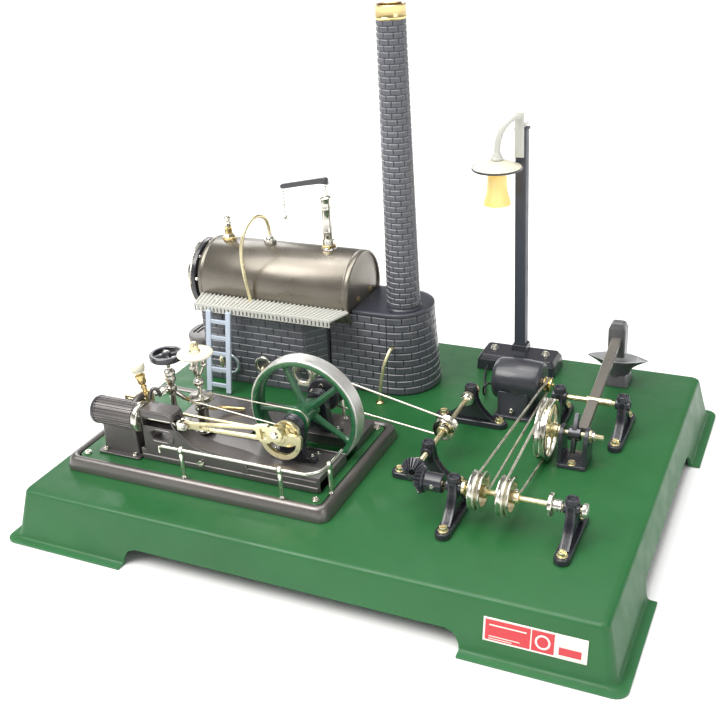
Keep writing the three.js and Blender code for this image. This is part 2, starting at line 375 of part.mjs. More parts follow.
// mitre gear with thin teeth, drawn on the +X axis with its cone point at the origin
function mitre(phase, hub, end) {
  const n = 10;
  let g = lathe('x', [0, 0, 0], [[2.3, 5.5], [3.2, 5.5], [8.6, 10.9], [9.4, 12], [hub, 13], [hub, end], [2.3, end], [2.3, 5.5]], 28);
  for (let i = 0; i < n; i++) {
    const t = new THREE.BoxGeometry(6.4, 3.2, 0.9).translate(11.3, -0.6, 0).rotateZ(Math.PI / 4)
      .rotateX(2 * Math.PI * (i + phase) / n);
    g = g.add(solid(t));
  }
  return g;
}
{
  const a = add('bevel_gear_cross', mitre(0, 6.6, 26), 'plastic');
  a.position.set(LX, CY, SH_Z);
  const b = add('bevel_gear_line', mitre(0.5, 5, 18.8), 'plastic');
  b.position.set(LX, CY, SH_Z); b.rotation.z = Math.PI / 2; b.rotation.x = 0;
}
{
  const m = add('dynamo_belt', belt('x', [CY, SH_Z], 12.5, [DYN_Y, DYN_Z], 4.4, -0.8, 0.8), 'steel');
  const a = Math.atan2(DYN_X - PA_X, DYN_Y - CY);
  m.position.set(PA_X + CY * Math.sin(-a) * 1, CY - CY * Math.cos(a), 0);
  m.rotation.z = -a;
}
add('hammer_belt', belt('x', [CY, SH_Z], 12.5, [HAM_Y, HAM_Z], 21.8, PB_X - 0.8, PB_X + 0.8), 'steel');
// ---------------------------------------------------------------- dynamo
{
  let h = lathe('x', [0, DYN_Y, DYN_Z], [[0, 73.5], [13.5, 73.5], [15.5, 76], [17.6, 85], [18.2, 93.5], [17.6, 102], [15.5, 111], [13.5, 113.5], [0, 113.5]], 28);
  h = h.add(taper([81, 105, 51, 93], BASE_TOP + GAP, [79, 107, 54.5, 89.5], 62));
  h = h.subtract(cyl('x', [0, DYN_Y, DYN_Z], 104, 116, 1.7, 1.7, 10));
  add('dynamo_housing', h, 'plastic');
}
add('dynamo_shaft', cyl('x', [0, DYN_Y, DYN_Z], 105, 122.2, 1.3, 1.3, 10).add(pulley('x', [0, DYN_Y, DYN_Z], DYN_X, 7, 6, 3.9, 1.2, 18)), 'brass');
add('lamp_wire', tube([[73, 66, 60.5], [69.5, 63.5, 62.5], [66.3, 62, 60], [65, 64, 53], [62, 76, 44.5], [57, 92, 42.2], [51, 108, 42.2], [48, 120, 43], [47.6, 128.4, 45.5]], 0.9, 22, 8), 'black');
// ---------------------------------------------------------------- street lamp
add('lamp_post', taper([36, 107, 129, 161], BASE_TOP + GAP, [38.5, 104.5, 131.5, 158.5], 54).add(box(65, 75, 148.5, 158.5, 50, 253)), 'plastic');
{
  const r = tube([[69.5, 146, 262], [69.2, 143.6, 262.5], [66.4, 138, 262], [61, 132.4, 256], [57, 130.4, 246], [56, 130, 235]], 2.6, 12, 6, 0.4);
  add('lamp_arm', r.add(box(65.5, 73.5, 145.6, 148.2, 229, 266)).add(box(65.5, 73.5, 145.6, 158, 253.3, 256)).add(cyl('z', [56, 130, 0], 231, 236, 5, 3.4, 14)), 'pale');
}
add('lamp_shade', lathe('z', [56, 130, 0], [[3.2, 230.6], [6, 230.6], [14, 227.4], [20.6, 224.4], [20.6, 223], [13, 225.6], [3.2, 228], [3.2, 230.6]], 28), 'cream');
add('lamp_globe', lathe('z', [56, 130, 0], [[0, 227.6], [2.8, 227.6], [2.8, 222], [7.6, 219], [8, 213], [10.4, 200], [11.4, 193.6], [10, 193.6], [7, 205], [0, 208]], 24), 'amber');
// ---------------------------------------------------------------- trip hammer
{
  const arm = [[-7, 42], [13, 42], [12, 62], [8.6, 69], [-2.6, 69], [-6, 62]];
  let b = box(146, 168, -9, 16, BASE_TOP + GAP, 43).add(prism('x', arm, 146, 149.2)).add(prism('x', arm, 164.8, 168));
  b = b.subtract(cyl('x', [0, HAM_Y, HAM_Z], 140, 175, 2.35, 2.35, 14));
  add('hammer_bracket', b, 'plastic');
}
{
  let s = cyl('x', [0, HAM_Y, HAM_Z], 129.6, 178, 2, 2, 14).add(cyl('x', [0, HAM_Y, HAM_Z], 168.6, 171, 3.6, 3.6, 14)).add(cyl('x', [0, HAM_Y, HAM_Z], 139, 145.4, 5.2, 5.2, 18));
  // two-armed tappet
  const tap = [[-16.6, -1], [-4, -4.2], [4, -4.2], [16.6, -1], [16.6, 1], [4, 4.2], [-4, 4.2], [-16.6, 1]];
  const rot = tap.map(([a, b]) => [HAM_Y - b * 0.92 + a * 0.39, HAM_Z + a * 0.92 + b * 0.39]);
  s = s.add(prism('x', rot, 154.6, 159.4));
  // large pulley: rim on five flat spokes
  const c = [0, HAM_Y, HAM_Z], m = PB_X;
  let w = lathe('x', c, [[20, m - 4.4], [23.4, m - 4.4], [23.4, m - 2.6], [21.4, m - 1.4], [21.4, m + 1.4], [23.4, m + 2.6], [23.4, m + 4.4], [20, m + 4.4], [20, m - 4.4]], 36);
  w = w.add(ring('x', c, m - 4.4, 139.5, 1.8, 5.2, 18));
  for (let i = 0; i < 5; i++) w = w.add(solid(new THREE.BoxGeometry(3, 4, 17.4).translate(0, 0, 12.4).rotateX(i * 2 * Math.PI / 5).translate(m - 1, HAM_Y, HAM_Z)));
  add('cam_shaft', s.add(w), 'steel');
}
{
  // arm: flat bar through the pivot, tail towards the tappet; the pivot shaft is fixed in it
  const g = new THREE.BoxGeometry(8, 120, 5).translate(0, 60 - 35, 0).rotateX(ARM_TILT).translate(ARM_X, PIV_Y, PIV_Z);
  let a = solid(g).add(cyl('x', [0, PIV_Y, PIV_Z], ARM_X - 6, ARM_X + 6, 4.6, 4.6, 16));
  a = a.subtract(box(140, 180, 131, 160, 40, 130));
  a = a.add(cyl('x', [0, PIV_Y, PIV_Z], 127.4, 185.6, 2, 2, 12));
  a = a.add(box(ARM_X - 7.2, ARM_X + 7.2, 130.4, 143, 67.5, 98.3));      // hammer head
  add('hammer_arm', a, 'iron');
}
{
  const prof = [[132.5, 63.1], [132.5, 62], [140, 58.6], [147, 54], [150, 49.6], [150, 48], [170, 48], [170, 49.6], [172, 54], [177, 58], [183.5, 62], [183.5, 63.1]];
  const plan = [];
  for (let i = 0; i <= 16; i++) { const u = -1 + 2 * i / 16; plan.push([158 + 25.6 * u, 142 - 10.6 * Math.cos(u * 1.5)]); }
  for (let i = 0; i <= 16; i++) { const u = 1 - 2 * i / 16; plan.push([158 + 25.6 * u, 142 + 10.6 * Math.cos(u * 1.5)]); }
  let a = prism('y', prof, 120, 165).intersect(prism('z', plan, 45, 70));
  a = a.add(taper([150.5, 169.5, 131, 155], BASE_TOP + GAP, [152, 168, 133, 152], 48.5));
  add('anvil', a, 'iron');
}

export default model;
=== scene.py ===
"""Looks of the model steam engine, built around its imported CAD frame. Lengths below are in millimetres."""
import bpy, bmesh, math, random
from mathutils import Matrix, Vector


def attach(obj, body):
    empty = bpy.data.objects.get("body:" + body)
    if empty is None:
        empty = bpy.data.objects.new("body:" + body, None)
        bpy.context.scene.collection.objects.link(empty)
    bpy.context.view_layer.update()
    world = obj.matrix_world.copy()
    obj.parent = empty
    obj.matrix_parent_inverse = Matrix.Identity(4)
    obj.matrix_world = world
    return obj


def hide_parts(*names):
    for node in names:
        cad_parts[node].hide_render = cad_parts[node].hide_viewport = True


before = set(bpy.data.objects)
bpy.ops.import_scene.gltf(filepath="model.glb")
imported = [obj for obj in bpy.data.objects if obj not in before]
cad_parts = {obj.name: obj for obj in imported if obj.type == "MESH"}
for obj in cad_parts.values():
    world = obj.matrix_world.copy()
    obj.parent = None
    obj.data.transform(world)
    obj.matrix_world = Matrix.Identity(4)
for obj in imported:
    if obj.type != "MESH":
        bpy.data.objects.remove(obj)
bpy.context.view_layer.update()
random.seed(7)
S = 0.001
PI = math.pi
sin, cos = math.sin, math.cos

# ------------------------------------------------------------------ camera
cam = bpy.data.objects.new("camera", bpy.data.cameras.new("camera"))
bpy.context.scene.collection.objects.link(cam)
right, up, back = Vector((0.9071, 0.4166, -0.0599)), Vector((-0.1304, 0.4136, 0.9011)), Vector((0.4002, -0.8096, 0.4295))
m = Matrix((right, up, back)).transposed().to_4x4()
m.translation = (0.3181, -0.6723, 0.4647)
cam.matrix_world = m
cam.data.sensor_width = 36
cam.data.lens = 52.95
cam.data.clip_start, cam.data.clip_end = 0.01, 50
bpy.context.scene.camera = cam

# ------------------------------------------------------------------ materials
def new_mat(name):
    mt = bpy.data.materials.new(name)
    mt.use_nodes = True
    nt = mt.node_tree
    return mt, nt, nt.nodes["Principled BSDF"]


def noise(nt, scale, detail=3, rough=0.5, stretch=None, coord="Object"):
    tc = nt.nodes.new("ShaderNodeTexCoord")
    mp = nt.nodes.new("ShaderNodeMapping")
    n = nt.nodes.new("ShaderNodeTexNoise")
    n.inputs["Scale"].default_value = scale
    n.inputs["Detail"].default_value = detail
    n.inputs["Roughness"].default_value = rough
    if stretch:
        mp.inputs["Scale"].default_value = stretch
    nt.links.new(tc.outputs[coord], mp.inputs["Vector"])
    nt.links.new(mp.outputs["Vector"], n.inputs["Vector"])
    return n


def ramp(nt, src, stops):
    r = nt.nodes.new("ShaderNodeValToRGB")
    el = r.color_ramp.elements
    while len(el) < len(stops):
        el.new(0.5)
    for e, (p, c) in zip(el, stops):
        e.position = p
        e.color = c if len(c) == 4 else (*c, 1)
    nt.links.new(src, r.inputs["Fac"])
    return r.outputs["Color"]


def rng(nt, src, lo, hi):
    r = nt.nodes.new("ShaderNodeMapRange")
    r.inputs["From Min"].default_value, r.inputs["From Max"].default_value = 0.25, 0.75
    r.inputs["To Min"].default_value, r.inputs["To Max"].default_value = lo, hi
    nt.links.new(src, r.inputs["Value"])
    return r.outputs["Result"]


def bump(nt, bsdf, height, strength=0.2, dist=0.0002):
    b = nt.nodes.new("ShaderNodeBump")
    b.inputs["Strength"].default_value = strength
    b.inputs["Distance"].default_value = dist
    nt.links.new(height, b.inputs["Height"])
    nt.links.new(b.outputs["Normal"], bsdf.inputs["Normal"])


def mulc(c, k):
    return tuple(min(1, x * k) for x in c)


def edge_mix(nt, col_out, wear, amount=0.35):
    """Lighter, worn colour where the surface is sharply convex, broken up by noise."""
    g = nt.nodes.new("ShaderNodeNewGeometry")
    r = nt.nodes.new("ShaderNodeMapRange")
    r.inputs["From Min"].default_value, r.inputs["From Max"].default_value = 0.53, 0.62
    r.inputs["To Min"].default_value, r.inputs["To Max"].default_value = 0.0, amount
    nt.links.new(g.outputs["Pointiness"], r.inputs["Value"])
    mx = nt.nodes.new("ShaderNodeMix")
    mx.data_type = "RGBA"
    nt.links.new(r.outputs["Result"], mx.inputs["Factor"])
    nt.links.new(col_out, mx.inputs["A"])
    mx.inputs["B"].default_value = (*wear, 1)
    return mx.outputs["Result"]


def paint(name, c, rough=0.3, coat=0.3, var=0.14, grain=900, bstr=0.12, wear=None, spec=0.5, metallic=0.0):
    mt, nt, b = new_mat(name)
    big = noise(nt, 14, 3)
    fine = noise(nt, grain, 2)
    col = ramp(nt, big.outputs["Fac"], [(0.3, mulc(c, 1 - var)), (0.7, mulc(c, 1 + var))])
    if wear:
        col = edge_mix(nt, col, wear)
    nt.links.new(col, b.inputs["Base Color"])
    mid = noise(nt, 60, 4)
    nt.links.new(rng(nt, mid.outputs["Fac"], rough * 0.8, rough * 1.25), b.inputs["Roughness"])
    bump(nt, b, fine.outputs["Fac"], bstr, 0.00015)
    b.inputs["Coat Weight"].default_value = coat
    b.inputs["Coat Roughness"].default_value = 0.08
    b.inputs["Specular IOR Level"].default_value = spec
    b.inputs["Metallic"].default_value = metallic
    return mt


def metal(name, c, rough=0.12, var=0.1, brush=(1, 1, 1), scale=160, bstr=0.06):
    mt, nt, b = new_mat(name)
    n = noise(nt, scale, 4, 0.6, brush)
    big = noise(nt, 35, 3)
    col = ramp(nt, big.outputs["Fac"], [(0.32, mulc(c, 1 - var)), (0.68, mulc(c, 1 + var))])
    nt.links.new(col, b.inputs["Base Color"])
    b.inputs["Metallic"].default_value = 1
    nt.links.new(rng(nt, n.outputs["Fac"], rough * 0.6, rough * 1.6), b.inputs["Roughness"])
    bump(nt, b, n.outputs["Fac"], bstr, 0.0001)
    return mt


M = {
    "green": paint("green_paint", (0.012, 0.112, 0.027), 0.46, 0.10, 0.10, 700, 0.10, (0.05, 0.22, 0.09)),
    "wheel": paint("wheel_green", (0.016, 0.112, 0.042), 0.26, 0.6, 0.10, 700, 0.06, (0.06, 0.26, 0.12)),
    "black": paint("black_gloss", (0.020, 0.020, 0.026), 0.25, 0.5, 0.2, 800, 0.08, (0.16, 0.16, 0.17)),
    "frame": paint("frame_enamel", (0.17, 0.158, 0.150), 0.34, 0.4, 0.12, 600, 0.06, (0.28, 0.26, 0.24), 0.5, 0.7),
    "cast": paint("dark_cast", (0.15, 0.138, 0.138), 0.36, 0.3, 0.15, 420, 0.2, (0.26, 0.25, 0.24), 0.5, 0.72),
    "boiler": paint("boiler_satin", (0.20, 0.18, 0.15), 0.30, 0.2, 0.08, 500, 0.06, None, 0.6, 0.75),
    "brick": paint("brick_paint", (0.030, 0.033, 0.048), 0.36, 0.35, 0.25, 380, 0.25, (0.26, 0.27, 0.30)),
    "plastic": paint("black_plastic", (0.022, 0.023, 0.032), 0.27, 0.35, 0.15, 900, 0.10, (0.13, 0.13, 0.15)),
    "dynamo": paint("dynamo_plastic", (0.034, 0.036, 0.046), 0.34, 0.3, 0.15, 700, 0.1, (0.12, 0.12, 0.14)),
    "post": paint("post_plastic", (0.050, 0.056, 0.078), 0.42, 0.1, 0.12, 600, 0.15, (0.12, 0.13, 0.16)),
    "pale": paint("pale_tin", (0.60, 0.60, 0.55), 0.38, 0.15, 0.08, 500, 0.12, (0.8, 0.8, 0.76)),
    "ladder": paint("ladder_paint", (0.50, 0.58, 0.70), 0.40, 0.15, 0.07, 500, 0.1, (0.75, 0.8, 0.86)),
    "cream": paint("cream_enamel", (0.80, 0.76, 0.60), 0.28, 0.4, 0.05, 600, 0.05, (0.9, 0.88, 0.8)),
    "head": paint("hammer_iron", (0.060, 0.058, 0.066), 0.34, 0.3, 0.2, 350, 0.25, (0.22, 0.22, 0.22)),
    "arm": paint("arm_iron", (0.16, 0.145, 0.125), 0.30, 0.3, 0.15, 350, 0.2, (0.3, 0.28, 0.25), 0.5, 0.5),
    "red": paint("label_red", (0.55, 0.02, 0.03), 0.25, 0.5, 0.06, 600, 0.04),
    "red_dark": paint("seal_red", (0.35, 0.01, 0.01), 0.35, 0.3, 0.06, 600, 0.04),
    "cable": paint("cable_black", (0.012, 0.012, 0.013), 0.45, 0.0, 0.15, 900, 0.15),
    # paler grey for the upper bevel of each brick: a painted highlight standing in for light from above catching the
    # brick tops
    "brick_top_painted_highlight": paint("brick_top_painted_highlight_mat", (0.30, 0.30, 0.315), 0.40, 0.3, 0.3, 380, 0.2),
    "dark_steel": metal("blackened_steel", (0.10, 0.10, 0.11), 0.3),
    "chrome": metal("chrome", (0.76, 0.74, 0.66), 0.13),
    "steel": metal("bright_steel", (0.76, 0.74, 0.68), 0.24, 0.08, (1, 6, 1), 120),
    "tyre": metal("wheel_tyre", (0.86, 0.85, 0.82), 0.42, 0.05, (1, 12, 1), 140, 0.12),
    "brass": metal("brass", (0.80, 0.62, 0.30), 0.20),
    "gold": metal("gold_metal", (0.86, 0.77, 0.50), 0.30, 0.08, (1, 1, 1), 220, 0.12),
    "spring": metal("spring_steel", (0.84, 0.80, 0.68), 0.34, 0.08),
    "blued": metal("blued_chrome", (0.70, 0.75, 0.80), 0.30),
    "anvil_top": metal("ground_top", (0.62, 0.63, 0.64), 0.38, 0.05, (8, 1, 1), 120, 0.1),
}
mt, nt, b = new_mat("amber_glass")
n = noise(nt, 40, 3)
nt.links.new(ramp(nt, n.outputs["Fac"], [(0.3, (0.95, 0.66, 0.20)), (0.7, (1.0, 0.80, 0.38))]), b.inputs["Base Color"])
nt.links.new(rng(nt, n.outputs["Fac"], 0.18, 0.3), b.inputs["Roughness"])
b.inputs["Subsurface Weight"].default_value = 0.5
b.inputs["Subsurface Radius"].default_value = (0.01, 0.006, 0.002)
b.inputs["Emission Color"].default_value = (1.0, 0.62, 0.16, 1)
b.inputs["Emission Strength"].default_value = 0.28
M["amber"] = mt
mt, nt, b = new_mat("gauge_glass")
n = noise(nt, 60, 2)
nt.links.new(ramp(nt, n.outputs["Fac"], [(0.3, (0.75, 0.80, 0.80)), (0.7, (0.9, 0.93, 0.93))]), b.inputs["Base Color"])
b.inputs["Roughness"].default_value = 0.05
b.inputs["Coat Weight"].default_value = 0.6
M["glass"] = mt

# ------------------------------------------------------------------ mesh helpers
def axpt(axis, c, u, v, h):
    """Point at height h along the axis, offset (u, v) across it, from centre c."""
    if axis == "x":
        return (h, c[1] + u, c[2] + v)
    if axis == "y":
        return (c[0] + u, h, c[2] + v)
    return (c[0] + u, c[1] + v, h)


def circ(cx, cy, r, n=24, a0=0.0, a1=2 * PI):
    full = abs(a1 - a0) > 6.2
    return [(cx + r * cos(a0 + (a1 - a0) * i / (n if full else n - 1)), cy + r * sin(a0 + (a1 - a0) * i / (n if full else n - 1))) for i in range(n)]


def rrect(x0, x1, y0, y1, r, n=5):
    pts = []
    for cx, cy, a in ((x1 - r, y1 - r, 0), (x0 + r, y1 - r, PI / 2), (x0 + r, y0 + r, PI), (x1 - r, y0 + r, 1.5 * PI)):
        for i in range(n + 1):
            t = a + PI / 2 * i / n
            pts.append((cx + r * cos(t), cy + r * sin(t)))
    return pts


class B:
    """Collects primitives into one mesh."""

    def __init__(self, *mats):
        self.bm = bmesh.new()
        self.mats = list(mats)
        self.m = Matrix.Identity(4)
        self.mi = 0

    def v(self, p):
        q = self.m @ Vector(p)
        return self.bm.verts.new(q * S)

    def f(self, vs):
        try:
            fc = self.bm.faces.new(vs)
        except ValueError:
            return None
        fc.material_index = self.mi
        fc.smooth = True
        return fc

    def mat(self, name):
        if name not in self.mats:
            self.mats.append(name)
        self.mi = self.mats.index(name)
        return self

    def loft(self, rings, cap0=True, cap1=True, closed=False):
        vr = [[self.v(p) for p in r] for r in rings]
        n = len(vr[0])
        seq = list(zip(vr, vr[1:])) + ([(vr[-1], vr[0])] if closed else [])
        for a, c in seq:
            for i in range(n):
                j = (i + 1) % n
                self.f([a[i], a[j], c[j], c[i]])
        if not closed:
            if cap0:
                self.f(list(reversed(vr[0])))
            if cap1:
                self.f(vr[-1])
        return self

    def box(self, x0, x1, y0, y1, z0, z1):
        return self.loft([[(x0, y0, z0), (x1, y0, z0), (x1, y1, z0), (x0, y1, z0)], [(x0, y0, z1), (x1, y0, z1), (x1, y1, z1), (x0, y1, z1)]])

    def taper(self, b0, z0, t, z1, r=0.0, n=3):
        if r:
            return self.loft([[(x, y, z0) for x, y in rrect(*b0, r, n)], [(x, y, z1) for x, y in rrect(*t, r, n)]])
        return self.loft([[(q[0], q[2], z), (q[1], q[2], z), (q[1], q[3], z), (q[0], q[3], z)] for q, z in ((b0, z0), (t, z1))])

    def lathe(self, axis, c, prof, seg=48, closed=False, a0=0.0):
        rings = []
        for r, h in prof:
            if r < 1e-6:
                rings.append([self.v(axpt(axis, c, 0, 0, h))])
            else:
                rings.append([self.v(axpt(axis, c, r * cos(a0 + 2 * PI * i / seg), r * sin(a0 + 2 * PI * i / seg), h)) for i in range(seg)])
        pairs = list(zip(rings, rings[1:]))
        if closed:
            pairs.append((rings[-1], rings[0]))
        for a, d in pairs:
            if len(a) == 1 and len(d) == 1:
                continue
            for i in range(seg):
                j = (i + 1) % seg
                if len(a) == 1:
                    self.f([a[0], d[j], d[i]])
                elif len(d) == 1:
                    self.f([a[i], a[j], d[0]])
                else:
                    self.f([a[i], a[j], d[j], d[i]])
        return self

    def cyl(self, axis, c, a, b, r0, r1=None, seg=40):
        r1 = r0 if r1 is None else r1
        return self.lathe(axis, c, [(0, a), (r0, a), (r1, b), (0, b)], seg)

    def ring(self, axis, c, a, b, ri, ro, seg=64):
        return self.lathe(axis, c, [(ri, a), (ro, a), (ro, b), (ri, b)], seg, closed=True)

    def prism(self, axis, pts, a, b, holes=()):
        """Outline in (y,z), (x,z) or (x,y), pushed along x, y or z."""
        put = {"x": lambda p, h: (h, p[0], p[1]), "y": lambda p, h: (p[0], h, p[1]), "z": lambda p, h: (p[0], p[1], h)}[axis]
        loops = [list(pts)] + [list(h) for h in holes]
        lo = [[self.v(put(p, a)) for p in lp] for lp in loops]
        hi = [[self.v(put(p, b)) for p in lp] for lp in loops]
        for A, C in zip(lo, hi):
            for i in range(len(A)):
                j = (i + 1) % len(A)
                self.f([A[i], A[j], C[j], C[i]])
        for grp in (lo, hi):
            if len(loops) == 1:
                self.f(grp[0])
            else:
                es = []
                for lp in grp:
                    for i in range(len(lp)):
                        e = self.bm.edges.get((lp[i], lp[(i + 1) % len(lp)])) or self.bm.edges.new((lp[i], lp[(i + 1) % len(lp)]))
                        es.append(e)
                r = bmesh.ops.triangle_fill(self.bm, use_beauty=True, use_dissolve=False, edges=es)
                for g in r["geom"]:
                    if isinstance(g, bmesh.types.BMFace):
                        g.material_index = self.mi
                        g.smooth = True
        return self

    def sphere(self, c, r, seg=20, rings=12, k=(1, 1, 1)):
        prof = [(r * sin(PI * i / rings), -r * cos(PI * i / rings)) for i in range(rings + 1)]
        prof[0], prof[-1] = (0, -r), (0, r)
        old = self.m
        self.m = old @ Matrix.Translation(c) @ Matrix.Diagonal((*k, 1))
        self.lathe("z", (0, 0, 0), prof, seg)
        self.m = old
        return self

    def tube(self, pts, r, seg=12, step=1.5, smooth_path=True, rib=None, closed=False, caps=True, tension=0.5):
        P = path(pts, step, closed, tension) if smooth_path else [Vector(p) for p in pts]
        n = len(P)
        fr = []
        t0 = (P[1] - P[0]).normalized()
        nrm = t0.orthogonal().normalized()
        for i in range(n):
            if closed:
                t = (P[(i + 1) % n] - P[i - 1]).normalized()
            else:
                t = (P[min(i + 1, n - 1)] - P[max(i - 1, 0)]).normalized()
            nrm = (nrm - t * nrm.dot(t)).normalized()
            fr.append((P[i], nrm.copy(), t.cross(nrm)))
        rings = []
        for i, (p, a, c) in enumerate(fr):
            rr = r if rib is None else (r if i % 2 else r * rib)
            rings.append([p + a * rr * cos(2 * PI * k / seg) + c * rr * sin(2 * PI * k / seg) for k in range(seg)])
        if closed:
            # match the last ring to the first one
            q0, qn = rings[0], rings[-1]
            best = min(range(seg), key=lambda s: (Vector(qn[s % seg]) - Vector(q0[0])).length)
            if best:
                N = len(rings)
                rings = [[(Vector(rg[(k + int(round(best * i / (N - 1)))) % seg])) for k in range(seg)] for i, rg in enumerate(rings)]
            self.loft(rings, closed=True)
        else:
            self.loft(rings, caps, caps)
        return self

    def bar(self, a, b, r, seg=16, r1=None):
        a, b = Vector(a), Vector(b)
        t = (b - a).normalized()
        u = t.orthogonal().normalized()
        w = t.cross(u)
        r1 = r if r1 is None else r1
        return self.loft([[p + (u * cos(2 * PI * k / seg) + w * sin(2 * PI * k / seg)) * rr for k in range(seg)] for p, rr in ((a, r), (b, r1))])

    def done(self, name, body="base", rep=(), bevel=0.0, bseg=2, angle=38, sub=0):
        bmesh.ops.recalc_face_normals(self.bm, faces=self.bm.faces)
        me = bpy.data.meshes.new(name)
        self.bm.to_mesh(me)
        self.bm.free()
        for k in self.mats:
            me.materials.append(M[k])
        ob = bpy.data.objects.new(name, me)
        bpy.context.scene.collection.objects.link(ob)
        me.shade_smooth()
        me.set_sharp_from_angle(angle=math.radians(angle))
        if sub:
            sm = ob.modifiers.new("sub", "SUBSURF")
            sm.levels = sm.render_levels = sub
        if bevel:
            bv = ob.modifiers.new("bevel", "BEVEL")
            bv.width = bevel * S
            bv.segments = bseg
            bv.limit_method = "ANGLE"
            bv.angle_limit = math.radians(angle)
            bv.harden_normals = False
            wn = ob.modifiers.new("wn", "WEIGHTED_NORMAL")
            wn.keep_sharp = False
        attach(ob, body)
        if rep:
            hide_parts(*([rep] if isinstance(rep, str) else rep))
        return ob


def path(pts, step=1.5, closed=False, tension=0.5):
    P = [Vector(p) for p in pts]
    n = len(P)
    out = []
    segs = n if closed else n - 1
    for i in range(segs):
        p1, p2 = P[i], P[(i + 1) % n]
        p0 = P[i - 1] if (i > 0 or closed) else p1 * 2 - p2
        p3 = P[(i + 2) % n] if (i + 2 < n or closed) else p2 * 2 - p1
        k = max(1, int(round((p2 - p1).length / step)))
        m1, m2 = (p2 - p0) * tension, (p3 - p1) * tension
        for j in range(k):
            t = j / k
            h00, h10, h01, h11 = 2 * t**3 - 3 * t**2 + 1, t**3 - 2 * t**2 + t, -2 * t**3 + 3 * t**2, t**3 - t**2
            out.append(p1 * h00 + m1 * h10 + p2 * h01 + m2 * h11)
    if not closed:
        out.append(P[-1])
    return out


def cut(ob, cutters, op="DIFFERENCE"):
    """Booleans applied to the mesh before any bevel."""
    mods = list(ob.modifiers)
    saved = [(x.type, x.name) for x in mods]
    for c in cutters:
        bo = ob.modifiers.new("bool", "BOOLEAN")
        bo.operation = op
        bo.object = c
        bo.solver = "EXACT"
        with bpy.context.temp_override(object=ob, active_object=ob):
            bpy.ops.object.modifier_move_to_index(modifier=bo.name, index=0)
            bpy.ops.object.modifier_apply(modifier=bo.name)
        me = c.data
        bpy.data.objects.remove(c)
        bpy.data.meshes.remove(me)
    ob.data.shade_smooth()
    ob.data.set_sharp_from_angle(angle=math.radians(38))
    return ob


def cutter(bld):
    bmesh.ops.recalc_face_normals(bld.bm, faces=bld.bm.faces)
    me = bpy.data.meshes.new("cutter")
    bld.bm.to_mesh(me)
    bld.bm.free()
    ob = bpy.data.objects.new("cutter", me)
    bpy.context.scene.collection.objects.link(ob)
    return ob


def rot_to(axis_dir, pos, spin=0.0):
    """Frame at pos whose local Z is axis_dir."""
    q = Vector(axis_dir).normalized().to_track_quat("Z", "Y")
    return Matrix.Translation(pos) @ q.to_matrix().to_4x4() @ Matrix.Rotation(spin, 4, "Z")


def screw(name, pos, r=2.7, h=1.8, direction=(0, 0, 1), body="base", mat="chrome", kind="cross", washer=True, spin=0.4):
    """Cross-recess pan head, slotted cheese head or hexagon nut on a stud."""
    b = B(mat)
    b.m = rot_to(direction, pos, spin)
    z = 0.0
    if washer:
        b.ring("z", (0, 0, 0), 0, 0.6, r * 0.5, r * 1.3, 28)
        z = 0.6
    if kind == "nut":
        hexa = [(r * 1.08 * cos(PI / 3 * i), r * 1.08 * sin(PI / 3 * i)) for i in range(6)]
        b.prism("z", hexa, z, z + h)
        b.lathe("z", (0, 0, 0), [(0, z), (r * 0.5, z), (r * 0.5, z + h + 0.7), (r * 0.36, z + h + 1.1), (0, z + h + 1.1)], 16)
    elif kind == "slot":
        w = 0.28 * r
        for sgn in (1, -1):
            pts = [(r * cos(t), sgn * r * sin(t)) for t in [math.asin(w / r) + (PI - 2 * math.asin(w / r)) * i / 14 for i in range(15)]]
            b.prism("z", pts, z, z + h)
        b.cyl("z", (0, 0, 0), z, z + h * 0.45, r * 0.98, r * 0.98, 28)
    else:
        k = 0.16 * r
        L = 0.62 * r
        plus = [(k, k), (k, L), (-k, L), (-k, k), (-L, k), (-L, -k), (-k, -k), (-k, -L), (k, -L), (k, -k), (L, -k), (L, k)]
        b.prism("z", circ(0, 0, r, 28), z, z + h * 0.55)
        b.prism("z", circ(0, 0, r * 0.86, 28), z + h * 0.5, z + h, [plus])
    return b.done(name, body, bevel=0.22, bseg=2)

# ------------------------------------------------------------------ base tray
tray = B("green")
def rr3(hx, hy, r, z):
    return [(x, y, z) for x, y in rrect(-hx, hx, -hy, hy, r, 6)]
tray.loft([rr3(237.5, 186, 9, 0), rr3(237.5, 186, 9, 1.4), rr3(232.6, 181.1, 7, 1.6), rr3(231.2, 179.7, 7, 2.4), rr3(230.3, 178.8, 7, 4.5), rr3(223.1, 171.6, 6, 37.2), rr3(222.6, 171.1, 6, 38.6), rr3(221.6, 170.1, 6, 39.6), rr3(220.2, 168.7, 5.5, 40)])
tray_ob = tray.done("base_tray_shell", rep="base_tray")
k1 = B("green"); k1.loft([rr3(229, 177.5, 6, -1), rr3(221, 169.5, 5, 38.6)])
k2 = B("green"); k2.prism("y", [(-131, -2), (-129.6, 6), (-126.5, 11.4), (-120, 14), (120, 14), (126.5, 11.4), (129.6, 6), (131, -2)], -200, 200)
k3 = B("green"); k3.prism("x", [(-90, -2), (-88.6, 6), (-85.5, 11.4), (-79, 14), (79, 14), (85.5, 11.4), (88.6, 6), (90, -2)], -250, 250)
k4 = B("green"); k4.box(-52, -14, -67.5, -50.5, 37, 60)
cut(tray_ob, [cutter(k) for k in (k1, k2, k3)])
